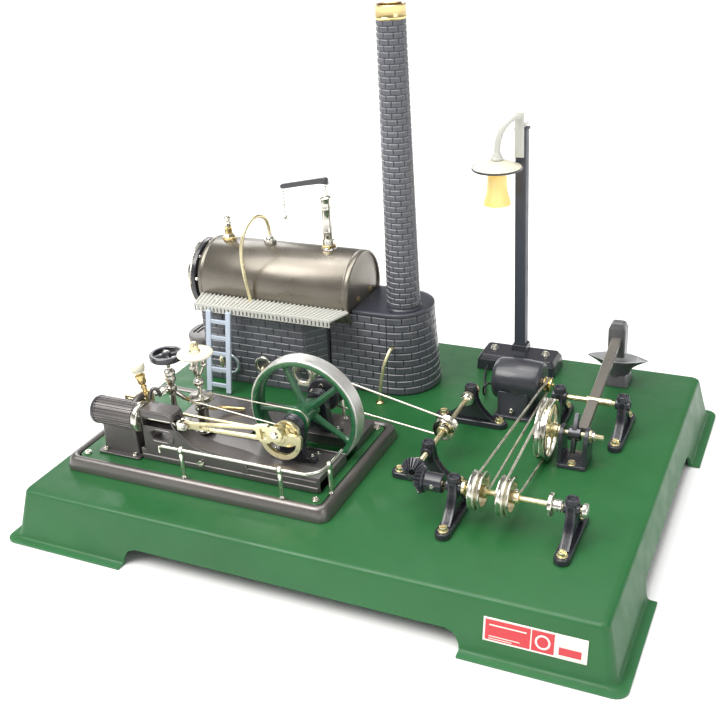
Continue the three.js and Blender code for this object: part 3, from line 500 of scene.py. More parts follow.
# label plate on the front skirt, left blank
lp = B("steel", "red")
tilt = math.atan(8 / 38.8)
lp.m = Matrix.Translation((178.5, -175.35, 20.6)) @ Matrix.Rotation(-tilt, 4, "X")
lp.box(-33, 33, -0.5, 0.3, -8.2, 8.2)
lp.done("label_plate", bevel=0.15)
for nm, x0, x1, mt_ in (("label_field_left", -31.6, -2.6, "red"), ("label_field_mid", -1.8, 12.4, "red"), ("label_field_right", 13.2, 31.6, "steel")):
    q = B(mt_); q.m = Matrix.Translation((178.5, -175.35, 20.6)) @ Matrix.Rotation(-tilt, 4, "X")
    q.box(x0, x1, -0.8, -0.4, -6.9, 6.9)
    q.done(nm, bevel=0.12)
q = B("steel"); q.m = Matrix.Translation((178.5, -175.35, 20.6)) @ Matrix.Rotation(-tilt, 4, "X")
q.box(-29, -5, -1.0, -0.7, 3.2, 4.1).box(-29, -9, -1.0, -0.7, -4.4, -3.8).box(-29, -14, -1.0, -0.7, -5.9, -5.4).box(15.4, 29.4, -1.0, -0.7, 3.0, 3.8)
q.ring("y", (5.3, 0, 0), -1.0, -0.7, 3.6, 4.9, 40)
q.done("label_lines")
q = B("red"); q.m = Matrix.Translation((178.5, -175.35, 20.6)) @ Matrix.Rotation(-tilt, 4, "X")
q.box(15.4, 29.4, -1.0, -0.7, -5.4, -0.4)
q.done("label_block", bevel=0.1)

# ------------------------------------------------------------------ engine base
fr = B("frame")
def rz(x0, x1, y0, y1, r, z, n=5):
    return [(x, y, z) for x, y in rrect(x0, x1, y0, y1, r, n)]
fr.loft([rz(-211, 17, -135, 0, 8, 40.3), rz(-211, 17, -135, 0, 8, 42.2), rz(-209.4, 15.4, -133.4, -1.6, 7.4, 48.6), rz(-208.2, 14.2, -132.2, -2.8, 7, 50.4), rz(-206.6, 12.6, -130.6, -4.4, 6.5, 51.2),
         rz(-204.6, 10.6, -128.6, -6.4, 5.5, 50.8), rz(-203.4, 9.4, -127.4, -7.6, 5, 49.6), rz(-203, 9, -127, -8, 5, 44), rz(-203, 9, -127, -8, 5, 40.3)], closed=True)
fr.done("engine_base_frame_shell", rep="engine_base_frame")
sp = B("green")
sp.prism("z", rrect(-202.6, 8.6, -126.6, -8.4, 5, 4), 40.3, 49.5, [rrect(-68, 2, -68, -50, 1.5, 2)])
sp.done("engine_sole", rep="engine_sole_plate", bevel=0.3)
for i, (x, y) in enumerate(((-197, -121.5), (3, -121.5), (3, -13.5), (-197, -13.5))):
    screw(f"sole_screw_{i+1}", (x, y, 49.5), 2.9, 2.0, mat="chrome", spin=0.5 + i, washer=False)
# bed casting
bd = B("cast")
bd.box(-152, 2.5, -112, -98.9, 49.8, 58)
bd.box(-152, -140, -98.9, -16, 49.8, 58).box(-140, 0, -98.9, -69.5, 49.8, 56).box(-140, -81, -69.5, -16, 49.8, 58).box(-81, 2.5, -49.5, -16, 49.8, 58).box(-81, 2.5, -69.5, -68.5, 49.8, 58).box(0, 2.5, -98.9, -69.5, 49.8, 58)
bd.done("engine_bed_slab", rep="engine_bed", bevel=0.8, bseg=3)
ck = B("cast")
cheek = [(-147, 50), (-147, 91.5), (-145.5, 93), (-121, 93), (-118.8, 91.4), (-117.4, 86), (-114.6, 79.6), (-110, 74.4), (-104, 70.8), (-96, 68.4), (-86, 66.6), (-62, 64.3), (-56, 62), (2.5, 62), (2.5, 50)]
win = [(x, z) for x, z in circ(-124.5, 72.2, 3.7, 11, -PI / 2, PI / 2)] + [(x, z) for x, z in circ(-136, 72.2, 3.7, 11, PI / 2, 1.5 * PI)]
ck.prism("y", cheek, -112.8, -99, [win])
co = ck.done("engine_bed_cheek", bevel=0.9, bseg=3)
kc = B("cast"); kc.cyl("x", (0, -107.5, 83), -146, -110, 6.4, 6.4, 48)
cut(co, [cutter(kc)])
# raised rims on the cheek
rm = B("cast")
rim = [(-144, -112.9, 90.6), (-122, -112.9, 90.6), (-119.6, -112.9, 86), (-117, -112.9, 79.4), (-111.6, -112.9, 73), (-104, -112.9, 68.6), (-96, -112.9, 66.2), (-86, -112.9, 64.4), (-66, -112.9, 62.2)]
rm.tube(rim, 0.7, 8, 2.0)
rm.tube([(x, -112.9, z) for x, z in circ(-124.5, 72.2, 5.2, 9, -PI / 2, PI / 2) + circ(-136, 72.2, 5.2, 9, PI / 2, 1.5 * PI)], 0.6, 8, 1.5, closed=True)
rm.tube([(-58, -113, 58.6), (0, -113, 58.6)], 0.6, 8, 4)
rm.done("engine_bed_ribs")
# crosshead guide collar and front apron
ap = B("cast")
ap.box(-150, 1.5, -114.2, -111.8, 49.8, 54.5)
ap.prism("y", [(-62, 54), (-62, 64), (-59, 65.5), (-57.4, 64), (-55, 54)], -114, -112)
ap.done("engine_bed_apron", bevel=0.8, bseg=3)
# main bearings
for nm, y0, y1, r in (("front", -88, -80, 9), ("rear", -45, -37, 8.5)):
    mb = B("plastic")
    mb.prism("y", [(-44.5, 55), (-41.5, 74), (-41.5, 83), (-24.5, 83), (-24.5, 74), (-21.5, 55)], y0, y1)
    mb.lathe("y", (-33, 0, 83), [(3, y0 - 0.6), (6.6, y0 - 0.6), (7.6, y0), (r, y0 + 0.6), (r, y0 + 1.8), (r - 1, y0 + 2.4), (r - 1, y0 + 3.4), (r, y0 + 4), (r, y0 + 5.2), (r - 1, y0 + 5.8), (r - 1, y0 + 6.6), (r, y0 + 7.2), (r, y1), (6.6, y1 + 0.6), (3, y1 + 0.6)], 48, closed=True)
    mb.box(-52, -14, y0 + 1, y1 - 1, 56, 60)
    mb.done(f"main_bearing_{nm}", bevel=0.5)
    for j, x in enumerate((-48.5, -17.5)):
        screw(f"bearing_{nm}_bolt_{j+1}", (x, (y0 + y1) / 2, 60), 2.1, 1.6, kind="nut", washer=False, mat="chrome")
for i, (x, y) in enumerate(((-184.4, -114.6), (-157.0, -114.6), (-184.4, -94.6), (-157.0, -94.6))):
    screw(f"cylinder_foot_screw_{i+1}", (x, y, 51.3), 2.2, 1.8, mat="chrome", washer=False, spin=i)
screw("oil_bolt", (-97, -112.2, 55.6), 2.6, 2.2, (0, -1, 0), kind="slot", mat="chrome", washer=True)
for i, (x, y) in enumerate(((-18, -74.2), (-19, -22), (-100, -30), (-60, -22))):
    screw(f"bed_bolt_{i+1}", (x, y, 58 if i else 56), 2.2, 2.0, kind="nut", mat="chrome", washer=False)
# ------------------------------------------------------------------ cylinder
cs = B("cast")
cs.loft([rz(-190, -151, -118, -91, 2, 49.8), rz(-190, -151, -118, -91, 2, 51.4)])
cs.loft([rz(-187, -154, -113, -96.5, 2, 51.2), rz(-186.4, -154.6, -112.4, -97, 2, 60), rz(-186, -155, -112.4, -97, 2, 76.5)])
cs.done("cylinder_foot", rep="cylinder_support", bevel=0.5)
cj = B("cast")
prof = []
n = 26
for i in range(n):
    for k, r in ((0, 11.0), (0.42, 11.0), (0.52, 10.2), (0.90, 10.2)):
        t = 2 * PI * (i + k) / n
        prof.append((-107.5 + r * cos(t), 83 + r * sin(t)))
cj.mat("cast").prism("x", prof, -189.5, -153.6)
cj.done("cylinder_jacket_ribbed", rep="cylinder_jacket", bevel=0.15)
ce = B("black")
ce.lathe("x", (0, -107.5, 83), [(0, -192.6), (7.5, -192.6), (9.0, -192.2), (10.6, -191.2), (11.2, -189.9), (11.2, -188.2), (10.4, -187.4), (0, -187.4)], 64)
ce.done("cylinder_end_cover")
cr = B("chrome")
cr.lathe("x", (0, -107.5, 83), [(2.6, -153), (10.6, -153), (11.5, -152.4), (11.9, -151.4), (11.9, -149.2), (11.5, -148.2), (10.6, -147.5), (2.6, -147.5)], 72, closed=True)
cr.done("cylinder_ring_chromed", rep="cylinder_ring")
sc = B("gold")
sc.box(-174, -153.6, -95.4, -84, 76, 92).box(-171, -157, -96, -82.5, 79, 90)
sc.done("steam_chest_block", rep="steam_chest", bevel=0.9, bseg=3)
for i, (x, z) in enumerate(((-169, 81), (-159, 81), (-169, 88), (-159, 88))):
    screw(f"steam_chest_nut_{i+1}", (x, -82.5, z), 1.3, 1.2, (0, 1, 0), kind="nut", mat="chrome", washer=False)
# ports and hose between cylinder and chest, under the lubricator
hs = B("cast")
hs.tube([(-151.4, -93, 90.6), (-151.0, -91.8, 95), (-149.0, -90.6, 98.6), (-146.2, -89.2, 97.6), (-144.6, -88, 92)], 1.5, 14, 1.0)
hs.tube([(-158, -106.5, 90), (-158.4, -99, 92.6), (-158.6, -91, 92.2)], 3.0, 14, 1.0)
hs.done("steam_port_pipe")
# lubricator with white cap
lb = B("brass")
tl = Matrix.Translation((-156.5, -90, 92.6)) @ Matrix.Rotation(math.radians(-12), 4, "Y")
lb.m = tl
lb.lathe("z", (0, 0, 0), [(0, 0.6), (3.7, 0.6), (4.0, 1.2), (3.7, 2.4), (1.9, 3.2), (1.8, 5.4), (2.5, 5.9), (2.5, 7.0), (1.8, 7.5), (1.8, 8.4), (2.9, 9.2), (3.4, 10.4), (3.5, 14.6), (4.2, 15.0), (4.2, 16.4), (3.2, 16.9), (2.4, 17.6), (2.2, 19.4), (0, 19.4)], 40)
lb.done("lubricator_body", rep="lubricator")
lc = B("cream")
lc.m = tl
lc.lathe("z", (0, 0, 0), [(0, 18.6), (4.6, 18.6), (5.0, 19.0), (5.0, 20.6), (5.6, 21.0), (5.9, 21.8), (5.9, 24.4), (5.4, 25.2), (4.2, 25.6), (0, 25.9)], 40)
lc.done("lubricator_cap")
# throttle valve
tv = B("chrome")
c = (-147, -70, 0)
tv.lathe("z", c, [(0, 58.4), (4.8, 58.4), (5.0, 59.6), (4.4, 61), (2.6, 63), (2.4, 70), (3.4, 71), (3.4, 73), (2.4, 74), (2.4, 84), (4.0, 86), (4.3, 88.5), (4.0, 91), (2.6, 92), (2.6, 94.2)], 40)
tv.bar((-147, -70, 88.5), (-156.4, -81.6, 88.5), 2.2, 20).bar((-150.5, -74.3, 88.5), (-152.2, -76.4, 88.5), 3.2, 6).bar((-147, -70, 88.5), (-138.5, -66, 80), 2.0, 18)
tv.done("throttle_valve_body", rep="throttle_valve")
tg = B("brass")
tg.tube([(-138.5, -66, 80), (-131, -60, 73), (-126, -52, 66), (-118, -42, 62), (-104, -36, 60)], 1.7, 12, 1.5)
tg.done("throttle_feed_pipe")
tb = B("steel")
tb.lathe("z", c, [(0, 93.8), (3.2, 93.8), (3.4, 94.6), (3.4, 96), (4.6, 96.6), (4.7, 98.6), (4.1, 99.4), (4.1, 101.2), (4.7, 101.8), (4.7, 104.2), (4.0, 105.2), (3.0, 106.2), (2.2, 107.2), (0, 107.2)], 40)
tb.done("throttle_gland")
hw = B("plastic")
hw.lathe("z", c, [(10.2, 116.2), (10.8, 115.6), (12.8, 115.6), (13.4, 116.2), (13.6, 118), (13.4, 119.8), (12.8, 120.4), (10.8, 120.4), (10.2, 119.8), (10.0, 118)], 72, closed=True)
hw.lathe("z", c, [(0, 115.4), (2.9, 115.4), (3.5, 116), (3.5, 120.4), (2.8, 121.3), (0, 121.5)], 32)
for i in range(4):
    t = PI / 4 + i * PI / 2
    hw.bar((c[0], c[1], 118), (c[0] + 11 * cos(t), c[1] + 11 * sin(t), 118), 1.9, 12, 1.5)
hw.done("handwheel_rim", "handwheel_body", rep="throttle_handwheel")
hs2 = B("chrome")
hs2.cyl("z", c, 107.9, 116, 1.7, 1.7, 24).lathe("z", c, [(0, 121.3), (1.5, 121.3), (1.4, 122.0), (0, 122.3)], 18)
hs2.done("handwheel_stem", "handwheel_body")
# ------------------------------------------------------------------ governor
gx = (-118.7, -72, 0)
gc = B("chrome")
gc.lathe("z", gx, [(0, 58.3), (7.6, 58.3), (8, 59), (7.4, 60.4), (5.2, 61.6), (4.4, 64), (4.4, 76), (5.6, 77), (5.6, 79), (4.4, 80), (4.4, 82.6), (6, 83.6), (6, 84.6), (0, 84.6)], 44)
gc.done("governor_column_turned", rep="governor_column")
z = 87
gs = B("chrome")
gs.lathe("z", gx, [(0, z - 2.2), (8.8, z - 2.2), (9.2, z - 1.9), (9.1, z - 1.6), (7.4, z - 0.9), (7.3, z), (7.4, z + 0.9), (9.1, z + 1.6), (9.2, z + 1.9), (8.8, z + 2.2), (3.2, z + 2.6), (1.8, z + 3.4), (1.6, z + 9), (2.0, z + 9.6), (1.6, z + 10)], 56)
gs.done("governor_pulley", "governor_body", rep="governor_spindle")
gb = B("chrome")
gb.lathe("z", gx, [(0, z + 9.2), (2.8, z + 9.9), (4.0, z + 11.6), (4.3, z + 13.2), (4.0, z + 14.8), (2.8, z + 16.4), (1.8, z + 17), (1.8, z + 19.4), (2.6, z + 20)], 40)
gb.done("governor_ball", "governor_body")
for i in range(3):
    t = 0.5 + i * 2 * PI / 3
    ga = B("chrome")
    ga.tube([(gx[0] + 1.8 * cos(t), gx[1] + 1.8 * sin(t), z + 19.6), (gx[0] + 4.2 * cos(t), gx[1] + 4.2 * sin(t), z + 25), (gx[0] + 5.6 * cos(t), gx[1] + 5.6 * sin(t), z + 30), (gx[0] + 5.0 * cos(t), gx[1] + 5.0 * sin(t), z + 35)], 1.1, 12, 1.0)
    ga.sphere((gx[0] + 5.5 * cos(t), gx[1] + 5.5 * sin(t), z + 28), 2.5)
    ga.done(f"governor_weight_{i+1}", "governor_body")
gm = B("steel")
gm.lathe("z", gx, [(0, z + 19), (1.4, z + 19.4), (1.4, z + 34), (6.6, z + 34.6), (6.8, z + 35.6), (0, z + 35.8)], 40)
gm.done("governor_sleeve", "governor_body")
gd = B("cream")
gd.lathe("z", gx, [(0, z + 35.6), (12.6, z + 36.2), (13.6, z + 36.9), (14.0, z + 37.8), (13.7, z + 38.6), (12.8, z + 39.2), (9, z + 39.6), (0, z + 39.7)], 72)
gd.done("governor_disc", "governor_body")
gk = B("gold")
gk.lathe("z", gx, [(0, z + 39.4), (4.2, z + 39.4), (4.4, z + 40.4), (3.4, z + 41.0), (3.3, z + 44.2), (2.9, z + 45.6), (2.0, z + 46.4), (1.8, z + 47.2), (0, z + 47.4)], 36)
gk.done("governor_nut", "governor_body")
gr_ = B("red_dark")
gr_.lathe("z", gx, [(1.4, z + 33.4), (5.6, z + 33.4), (6.2, z + 33.9), (6.2, z + 34.5), (1.4, z + 34.5)], 36, closed=True)
gr_.done("governor_red_washer", "governor_body")
# ------------------------------------------------------------------ motion work
cx = -110
xh = B("chrome")
xh.cyl("x", (0, -107.5, 83), -157, cx - 6, 1.7, 1.7, 28)
xh.lathe("x", (0, -107.5, 83), [(0, cx - 9), (3.0, cx - 9), (3.4, cx - 8.4), (3.4, cx - 4.8), (3.0, cx - 4.2), (0, cx - 4.2)], 40)
xh.prism("y", [(-115.4, 79.6), (-115.4, 86.4), (-108.6, 86.0), (-107, 84.6), (-106.6, 83), (-107, 81.4), (-108.6, 80)], -111.9, -109.6)
xh.prism("y", [(-115.4, 79.6), (-115.4, 86.4), (-108.6, 86.0), (-107, 84.6), (-106.6, 83), (-107, 81.4), (-108.6, 80)], -105.4, -103.1)
xh.cyl("y", (cx, 0, 83), -112.3, -102.8, 1.2, 1.2, 20)
xh.done("crosshead_fork", "crosshead_body", rep="crosshead", bevel=0.25)
L = math.hypot(77, 6)
tl = math.atan2(6, 77)
cr = B("gold")
cr.m = Matrix.Translation((cx, 0, 83)) @ Matrix.Rotation(-tl, 4, "Y")
o = circ(0, 0, 3.2, 13, PI * 0.55, PI * 1.45) + [(6, -2.2), (L - 14, -5.2), (L - 12.6, -6.8), (L - 5, -7.2), (L - 4, -5.6)] + circ(L, 0, 5.9, 15, -PI * 0.38, PI * 0.38) + [(L - 4, 5.6), (L - 5, 7.2), (L - 12.6, 6.8), (L - 14, 5.2), (6, 2.2)]
cr.prism("y", o, -109.1, -105.9, [[(13, -0.9), (L - 15.4, -3.1), (L - 15.4, 3.1), (13, 0.9)], [(L - 11.6, -4.4), (L - 7.4, -4.4), (L - 7.4, 4.4), (L - 11.6, 4.4)]])
cr.done("connecting_rod_open", "rod_body", rep="connecting_rod", bevel=0.35)
cp = B("chrome")
cp.m = Matrix.Translation((cx, 0, 83)) @ Matrix.Rotation(-tl, 4, "Y")
cp.lathe("y", (L, 0, 0), [(0, -110.6), (2.2, -110.6), (2.7, -110.1), (2.7, -109.2), (3.6, -109.2), (3.6, -108.8), (2.4, -108.8), (2.4, -102.5), (0, -102.5)], 32)
cp.cyl("y", (0, 0, 0), -109.4, -105.6, 2.2, 2.2, 24)
cp.done("crank_pin", "rod_body")
cw = B("gold")
AX, AZ, PZ = -33, 83, 89
o = [(AX + 17 * cos(PI + PI * i / 40), AZ - 1 + 17 * sin(PI + PI * i / 40)) for i in range(41)] + [(AX + 17.4, AZ + 0.6), (AX + 16.6, AZ + 3.0), (AX + 7, AZ + 3.4)]
o += [(AX + 5.4 * cos(0.1 + (PI - 0.2) * i / 18), PZ + 5.4 * sin(0.1 + (PI - 0.2) * i / 18)) for i in range(19)] + [(AX - 7, AZ + 3.4), (AX - 16.6, AZ + 3.0), (AX - 17.4, AZ + 0.6)]
h = [(AX + 13.2 * cos(PI + 0.22 + (PI - 0.44) * i / 30), AZ - 1 + 13.2 * sin(PI + 0.22 + (PI - 0.44) * i / 30)) for i in range(31)] + [(AX + 7.4, AZ - 3.2), (AX + 5.6, AZ - 5.4), (AX + 3, AZ - 6.6), (AX - 3, AZ - 6.6), (AX - 5.6, AZ - 5.4), (AX - 7.4, AZ - 3.2)]
cw.prism("y", o, -102.1, -98.9, [h])
cw.lathe("y", (AX, 0, AZ), [(0, -102.6), (4.4, -102.6), (5, -102.1), (5, -98.3), (0, -98.3)], 36)
cw.done("crank_web_open", "crank", rep="crank_web", bevel=0.4)
cs = B("steel")
cs.cyl("y", (AX, 0, AZ), -98.2, -12.5, 2.6, 2.6, 32)
cs.lathe("y", (AX, 0, AZ), [(2.6, -49.5), (4.6, -49.5), (4.6, -46), (2.6, -46)], 32, closed=True)
cs.done("crankshaft_bar", "crank", rep="crankshaft")
ec = B("gold")
ec.lathe("y", (AX + 2, 0, AZ), [(2.6, -97.6), (7.4, -97.6), (8, -97.2), (8, -96.4), (10.4, -96.2), (10.6, -95.6), (10.6, -93.2), (10.4, -92.6), (8, -92.4), (8, -91.6), (7.4, -91.2), (2.6, -91.2)], 56, closed=True)
ec.done("eccentric_strap", "crank")
# pulley behind the flywheel, with bolts
cp = B("black")
cp.lathe("y", (AX, 0, AZ), [(2.6, -33), (12.6, -33), (13.6, -32.2), (13.8, -31), (13.4, -29.6), (6, -29), (5, -27), (5, -26.4), (13, -26.4), (13.8, -25.6), (13.4, -24.4), (11.6, -22.8), (11.4, -22), (11.6, -21.2), (13.4, -19.6), (13.8, -18.4), (13, -17.5), (5.2, -17.5), (5, -14.4), (2.6, -14)], 64, closed=True)
cp.done("crank_pulley", "crank")
for i in range(5):
    t = 0.3 + i * 2 * PI / 5
    screw(f"crank_pulley_bolt_{i+1}", (AX + 8.6 * cos(t), -33, AZ + 8.6 * sin(t)), 1.9, 1.6, (0, -1, 0), body="crank", kind="slot", mat="chrome", washer=False, spin=t)
vr = B("gold")
vr.cyl("x", (0, -94.1, AZ), -150, -57, 1.25, 1.25, 20)
vr.prism("y", [(-59, 81.2), (-59, 84.8), (-56, 86), (-49, 86), (-47.6, 84.6), (-47.6, 81.4), (-49, 80), (-56, 80)], -95.6, -92.8)
vr.done("valve_rod_bar", "valve_rod_body", rep="valve_rod", bevel=0.2)
vg = B("brass")
vg.lathe("x", (0, -94.1, AZ), [(1.5, -153.4), (4, -153.4), (4.2, -152.8), (4.2, -150.6), (2.8, -149.8), (2.8, -147), (1.5, -146.6)], 30, closed=True)
vg.done("valve_rod_gland")
# ------------------------------------------------------------------ flywheel
fw = B("wheel")
c = (AX, 0, AZ)
fw.lathe("y", c, [(39.4, -64.6), (39.9, -65.4), (40.8, -66), (43.4, -66), (43.4, -65.2), (43.4, -52.8), (43.4, -52), (40.8, -52), (39.9, -52.6), (39.4, -53.4)], 128, closed=True)
hp = -74.5
fw.lathe("y", c, [(2.9, hp - 2.6), (9.0, hp - 2.6), (9.6, hp - 2.2), (9.5, hp - 1.7), (8.0, hp - 0.9), (7.9, hp), (8.0, hp + 0.9), (9.5, hp + 1.7), (9.6, hp + 2.4), (8.4, hp + 3.2), (8.0, hp + 4), (8, -62), (8.6, -60), (8.4, -55), (7.4, -51), (6.8, -50), (2.9, -50)], 64, closed=True)
for i in range(5):
    t = PI * 0.63 + i * 2 * PI / 5
    d = Vector((cos(t), 0, sin(t)))
    w = Vector((-sin(t), 0, cos(t)))
    rings = []
    for s_, a_, b_ in ((5.5, 3.9, 3.3), (9, 3.5, 3.0), (14, 3.1, 2.6), (26, 2.6, 2.2), (35, 2.5, 2.1), (38, 3.0, 2.6), (40.2, 4.2, 3.8)):
        p = Vector((AX, -59, AZ)) + d * s_
        rings.append([p + w * a_ * cos(2 * PI * k / 16) + Vector((0, 1, 0)) * b_ * sin(2 * PI * k / 16) for k in range(16)])
    fw.loft(rings)
fw.done("flywheel_cast", "crank", rep="flywheel")
ft = B("tyre")
ft.lathe("y", c, [(43.2, -65.4), (44.4, -65.6), (45, -65), (45, -53), (44.4, -52.4), (43.2, -52.6)], 144, closed=True)
ft.done("flywheel_tyre", "crank")
# ------------------------------------------------------------------ guard rail
gr = B("chrome")
z, y = 75, -129
gr.tube([(-121, y, 69.5), (-121, y, 73.0), (-120.2, y, 74.6), (-118.6, y, z), (-112, y, z), (-60, y, z), (-5, y, z), (3, y + 1.6, z), (8.8, y + 7, z), (11, y + 15, z), (11, y + 38, z)], 1.25, 16, 1.5, tension=0.4)
for i, (px, py) in enumerate(((-102, y), (-19.5, y), (11, -111.5))):
    gr.lathe("z", (px, py, 0), [(0, 51.3), (2.1, 51.3), (2.3, 52.0), (1.6, 52.8), (1.5, 54), (1.9, 66), (2.2, 71.2), (1.9, 72.2), (2.2, 73.2), (2.5, 75), (2.2, 76.8), (1.2, 77.6), (0, 77.8)], 28)
gr.done("guard_rail_bar", rep="guard_rail")
# ------------------------------------------------------------------ brickwork
def bricks(name, segs, z0, z1, rows, length, body="base", rep=(), gap=0.5, high=0.7, mat="brick", shrink=None, core=None):
    """segs: list of functions s in [0,1] -> (x, y, nx, ny) with their lengths. Each brick stands proud of the wall behind it."""
    b = B(mat, "brick_top_painted_highlight")
    hgt = (z1 - z0) / rows
    for fn, ln in segs:
        cnt = max(1, round(ln / length))
        for i in range(rows):
            za, zb = z0 + i * hgt + gap / 2, z0 + (i + 1) * hgt - gap / 2
            edges = [0.0] + [(j + (0.5 if i % 2 else 0.0)) / cnt for j in range(1 if not i % 2 else 0, cnt)] + [1.0]
            edges = sorted(set(round(e, 6) for e in edges))
            for e0, e1 in zip(edges, edges[1:]):
                g = gap / 2 / ln
                a0, a1 = e0 + g, e1 - g
                if a1 - a0 < 2 * g:
                    continue
                k = max(1, int((a1 - a0) * ln / 2.2)) if fn.curved else 1
                lo0, lo1, hi0, hi1 = [], [], [], []
                c_ = 0.55
                ring_sets = []
                for q in range(k + 1):
                    s = a0 + (a1 - a0) * q / k
                    ring_sets.append(s)
                def col(s, inset, z, out):
                    x, y, nx, ny = fn(min(max(s, 0), 1), z)
                    return (x + nx * out, y + ny * out, z)
                base_lo = [col(s, 0, za, 0) for s in ring_sets]
                base_hi = [col(s, 0, zb, 0) for s in ring_sets]
                ins = c_ / ln
                top_s = [min(max(s, a0 + ins), a1 - ins) for s in ring_sets]
                top_lo = [col(s, 0, za + c_, high) for s in top_s]
                top_hi = [col(s, 0, zb - c_, high) for s in top_s]
                VB, VH, TB, TH = ([b.v(p) for p in r] for r in (base_lo, base_hi, top_lo, top_hi))
                for q in range(k):
                    b.mat(mat)
                    b.f([TB[q], TB[q + 1], TH[q + 1], TH[q]])
                    b.f([VB[q], VB[q + 1], TB[q + 1], TB[q]])
                    # upper bevel face in the paler material: painted highlight along the top edge of each brick
                    b.mat("brick_top_painted_highlight")
                    b.f([TH[q], TH[q + 1], VH[q + 1], VH[q]])
                    b.mat(mat)
                    b.f([VH[q], VH[q + 1], VB[q + 1], VB[q]])
                b.f([VB[0], TB[0], TH[0], VH[0]])
                b.f([VB[k], VH[k], TH[k], TB[k]])
    return b.done(name, body, rep=rep, angle=28)


def line_seg(x0, y0, x1, y1, out=0.0):
    ln = math.hypot(x1 - x0, y1 - y0)
    nx, ny = (y1 - y0) / ln, -(x1 - x0) / ln
    def fn(s, z=0):
        return x0 + (x1 - x0) * s + nx * out, y0 + (y1 - y0) * s + ny * out, nx, ny
    fn.curved = False
    return fn, ln

# boiler house: wall core, then bricks. Outline counter-clockwise seen from above, outward normals
hx = [(-186.4, 39.6), (-86.2, 39.6), (-72.6, 56.2), (-72.6, 127.6), (-82.2, 136.4), (-186.4, 136.4)]
hi_ = [(-183, 43), (-88, 43), (-76, 57.5), (-76, 126), (-84, 133), (-183, 133)]
bh = B("brick")
bh.prism("z", hx, 40.3, 113.6, [hi_])
bo = bh.done("boiler_house_walls", rep="boiler_house")
k1 = B("brick"); k1.box(-190, -176, 52, 112, 46, 76)
cut(bo, [cutter(k1)])
bt = B("brick")
bt.loft([rz(-187.2, -72, 118, 137, 2, 110), rz(-187.2, -72, 118, 137, 2, 114)])
bt.loft([rz(-187.2, -86, 39, 54, 2, 110.4), rz(-187.2, -86, 39, 54, 2, 113.4)])
bt.done("boiler_house_top_ledge", bevel=0.4)
bricks("boiler_house_bricks_front", [line_seg(-186.4, 39.6, -86.2, 39.6), line_seg(-86.2, 39.6, -72.6, 56.2)], 41.0, 110.0, 11, 15)
bricks("boiler_house_bricks_back", [line_seg(-72.6, 127.6, -82.2, 136.4), line_seg(-82.2, 136.4, -186.4, 136.4)], 41.0, 110.0, 11, 15)
# left wall in four fields round the burner mouth
bricks("boiler_house_bricks_left_low", [line_seg(-186.4, 136.4, -186.4, 39.6)], 41.2, 46.0, 1, 14.5)
bricks("boiler_house_bricks_left_back", [line_seg(-186.4, 136.4, -186.4, 112.4)], 46.0, 76.6, 5, 12)
bricks("boiler_house_bricks_left_front", [line_seg(-186.4, 51.6, -186.4, 39.6)], 46.0, 76.6, 5, 12)
bricks("boiler_house_bricks_left_top", [line_seg(-186.4, 136.4, -186.4, 39.6)], 76.6, 109.2, 5, 14.5)
bm_ = B("black")
bm_.prism("x", [(50.6, 44.8), (50.6, 77.4), (113.4, 77.4), (113.4, 44.8)], -187.6, -186, [[(52.4, 46.4), (52.4, 75.8), (111.6, 75.8), (111.6, 46.4)]])
bm_.done("burner_mouth_frame", bevel=0.3)
# chimney block: straight wall, round end, straight back
def block_fn(part):
    def fn(s, z=40):
        k = (z - 40.3) / 69.7
        r = 33.2 - 4.0 * k
        cx_, cy_ = -18.5, 91.0
        xs = -71.6
        if part == "front":
            return xs + (cx_ - xs) * s, cy_ - r, 0.0, -1.0
        if part == "back":
            return cx_ + (xs - cx_) * s, cy_ + r, 0.0, 1.0
        a = -PI / 2 + PI * s
        return cx_ + r * cos(a), cy_ + r * sin(a), cos(a), sin(a)
    fn.curved = part == "round"
    return fn
blk = B("brick")
rings = []
for z_, o_ in ((40.3, -0.2), (110.2, -0.2), (110.8, 1.0), (113.0, 1.0), (113.6, 0.3), (113.8, -3.5), (113.8, -8)):
    rg = []
    for i in range(30):
        x, y, nx, ny = block_fn("front")(i / 30, z_); rg.append((x + nx * o_, y + ny * o_, z_))
    for i in range(48):
        x, y, nx, ny = block_fn("round")(i / 48, z_); rg.append((x + nx * o_, y + ny * o_, z_))
    for i in range(31):
        x, y, nx, ny = block_fn("back")(i / 30, z_); rg.append((x + nx * o_, y + ny * o_, z_))
    rings.append(rg)
blk.loft(rings)
blo = blk.done("chimney_block_core", rep="chimney_block")
kb = B("brick"); kb.cyl("x", (0, 88, 122), -90, -49.4, 35.2, 35.2, 96)
cut(blo, [cutter(kb)])
bricks("chimney_block_bricks", [(block_fn("front"), 53.1), (block_fn("round"), 98.0), (block_fn("back"), 53.1)], 41.0, 110.0, 11, 14.5)
# chimney: courses of bricks on a cone, brass cap
def chim_fn(s, z=110):
    r = 13.6 + (10.9 - 13.6) * (z - 110.3) / (348.5 - 110.3)
    a = 2 * PI * s
    return -11 + r * cos(a), 83 + r * sin(a), cos(a), sin(a)
chim_fn.curved = True
ch = B("brick")
ch.lathe("z", (-11, 83, 0), [(0, 113.8), (15.2, 113.8), (15.2, 114.6), (14.4, 115.6), (13.5, 116.0), (10.8, 348.6), (0, 348.6)], 96)
ch.done("chimney_core", rep="chimney")
bricks("chimney_bricks", [(chim_fn, 2 * PI * 12.2)], 116.2, 348.2, 50, 9.0, gap=0.45, high=0.6)
cc = B("brass")
cc.lathe("z", (-11, 83, 0), [(9.4, 346), (11.2, 347.6), (11.9, 348.6), (12.0, 349.6), (11.6, 350.2), (11.5, 356.2), (11.9, 357), (11.9, 358), (11.4, 358.5), (10.2, 358.5), (9.6, 358.0), (9.4, 350)], 96, closed=True)
cc.done("chimney_cap")
ci = B("black")
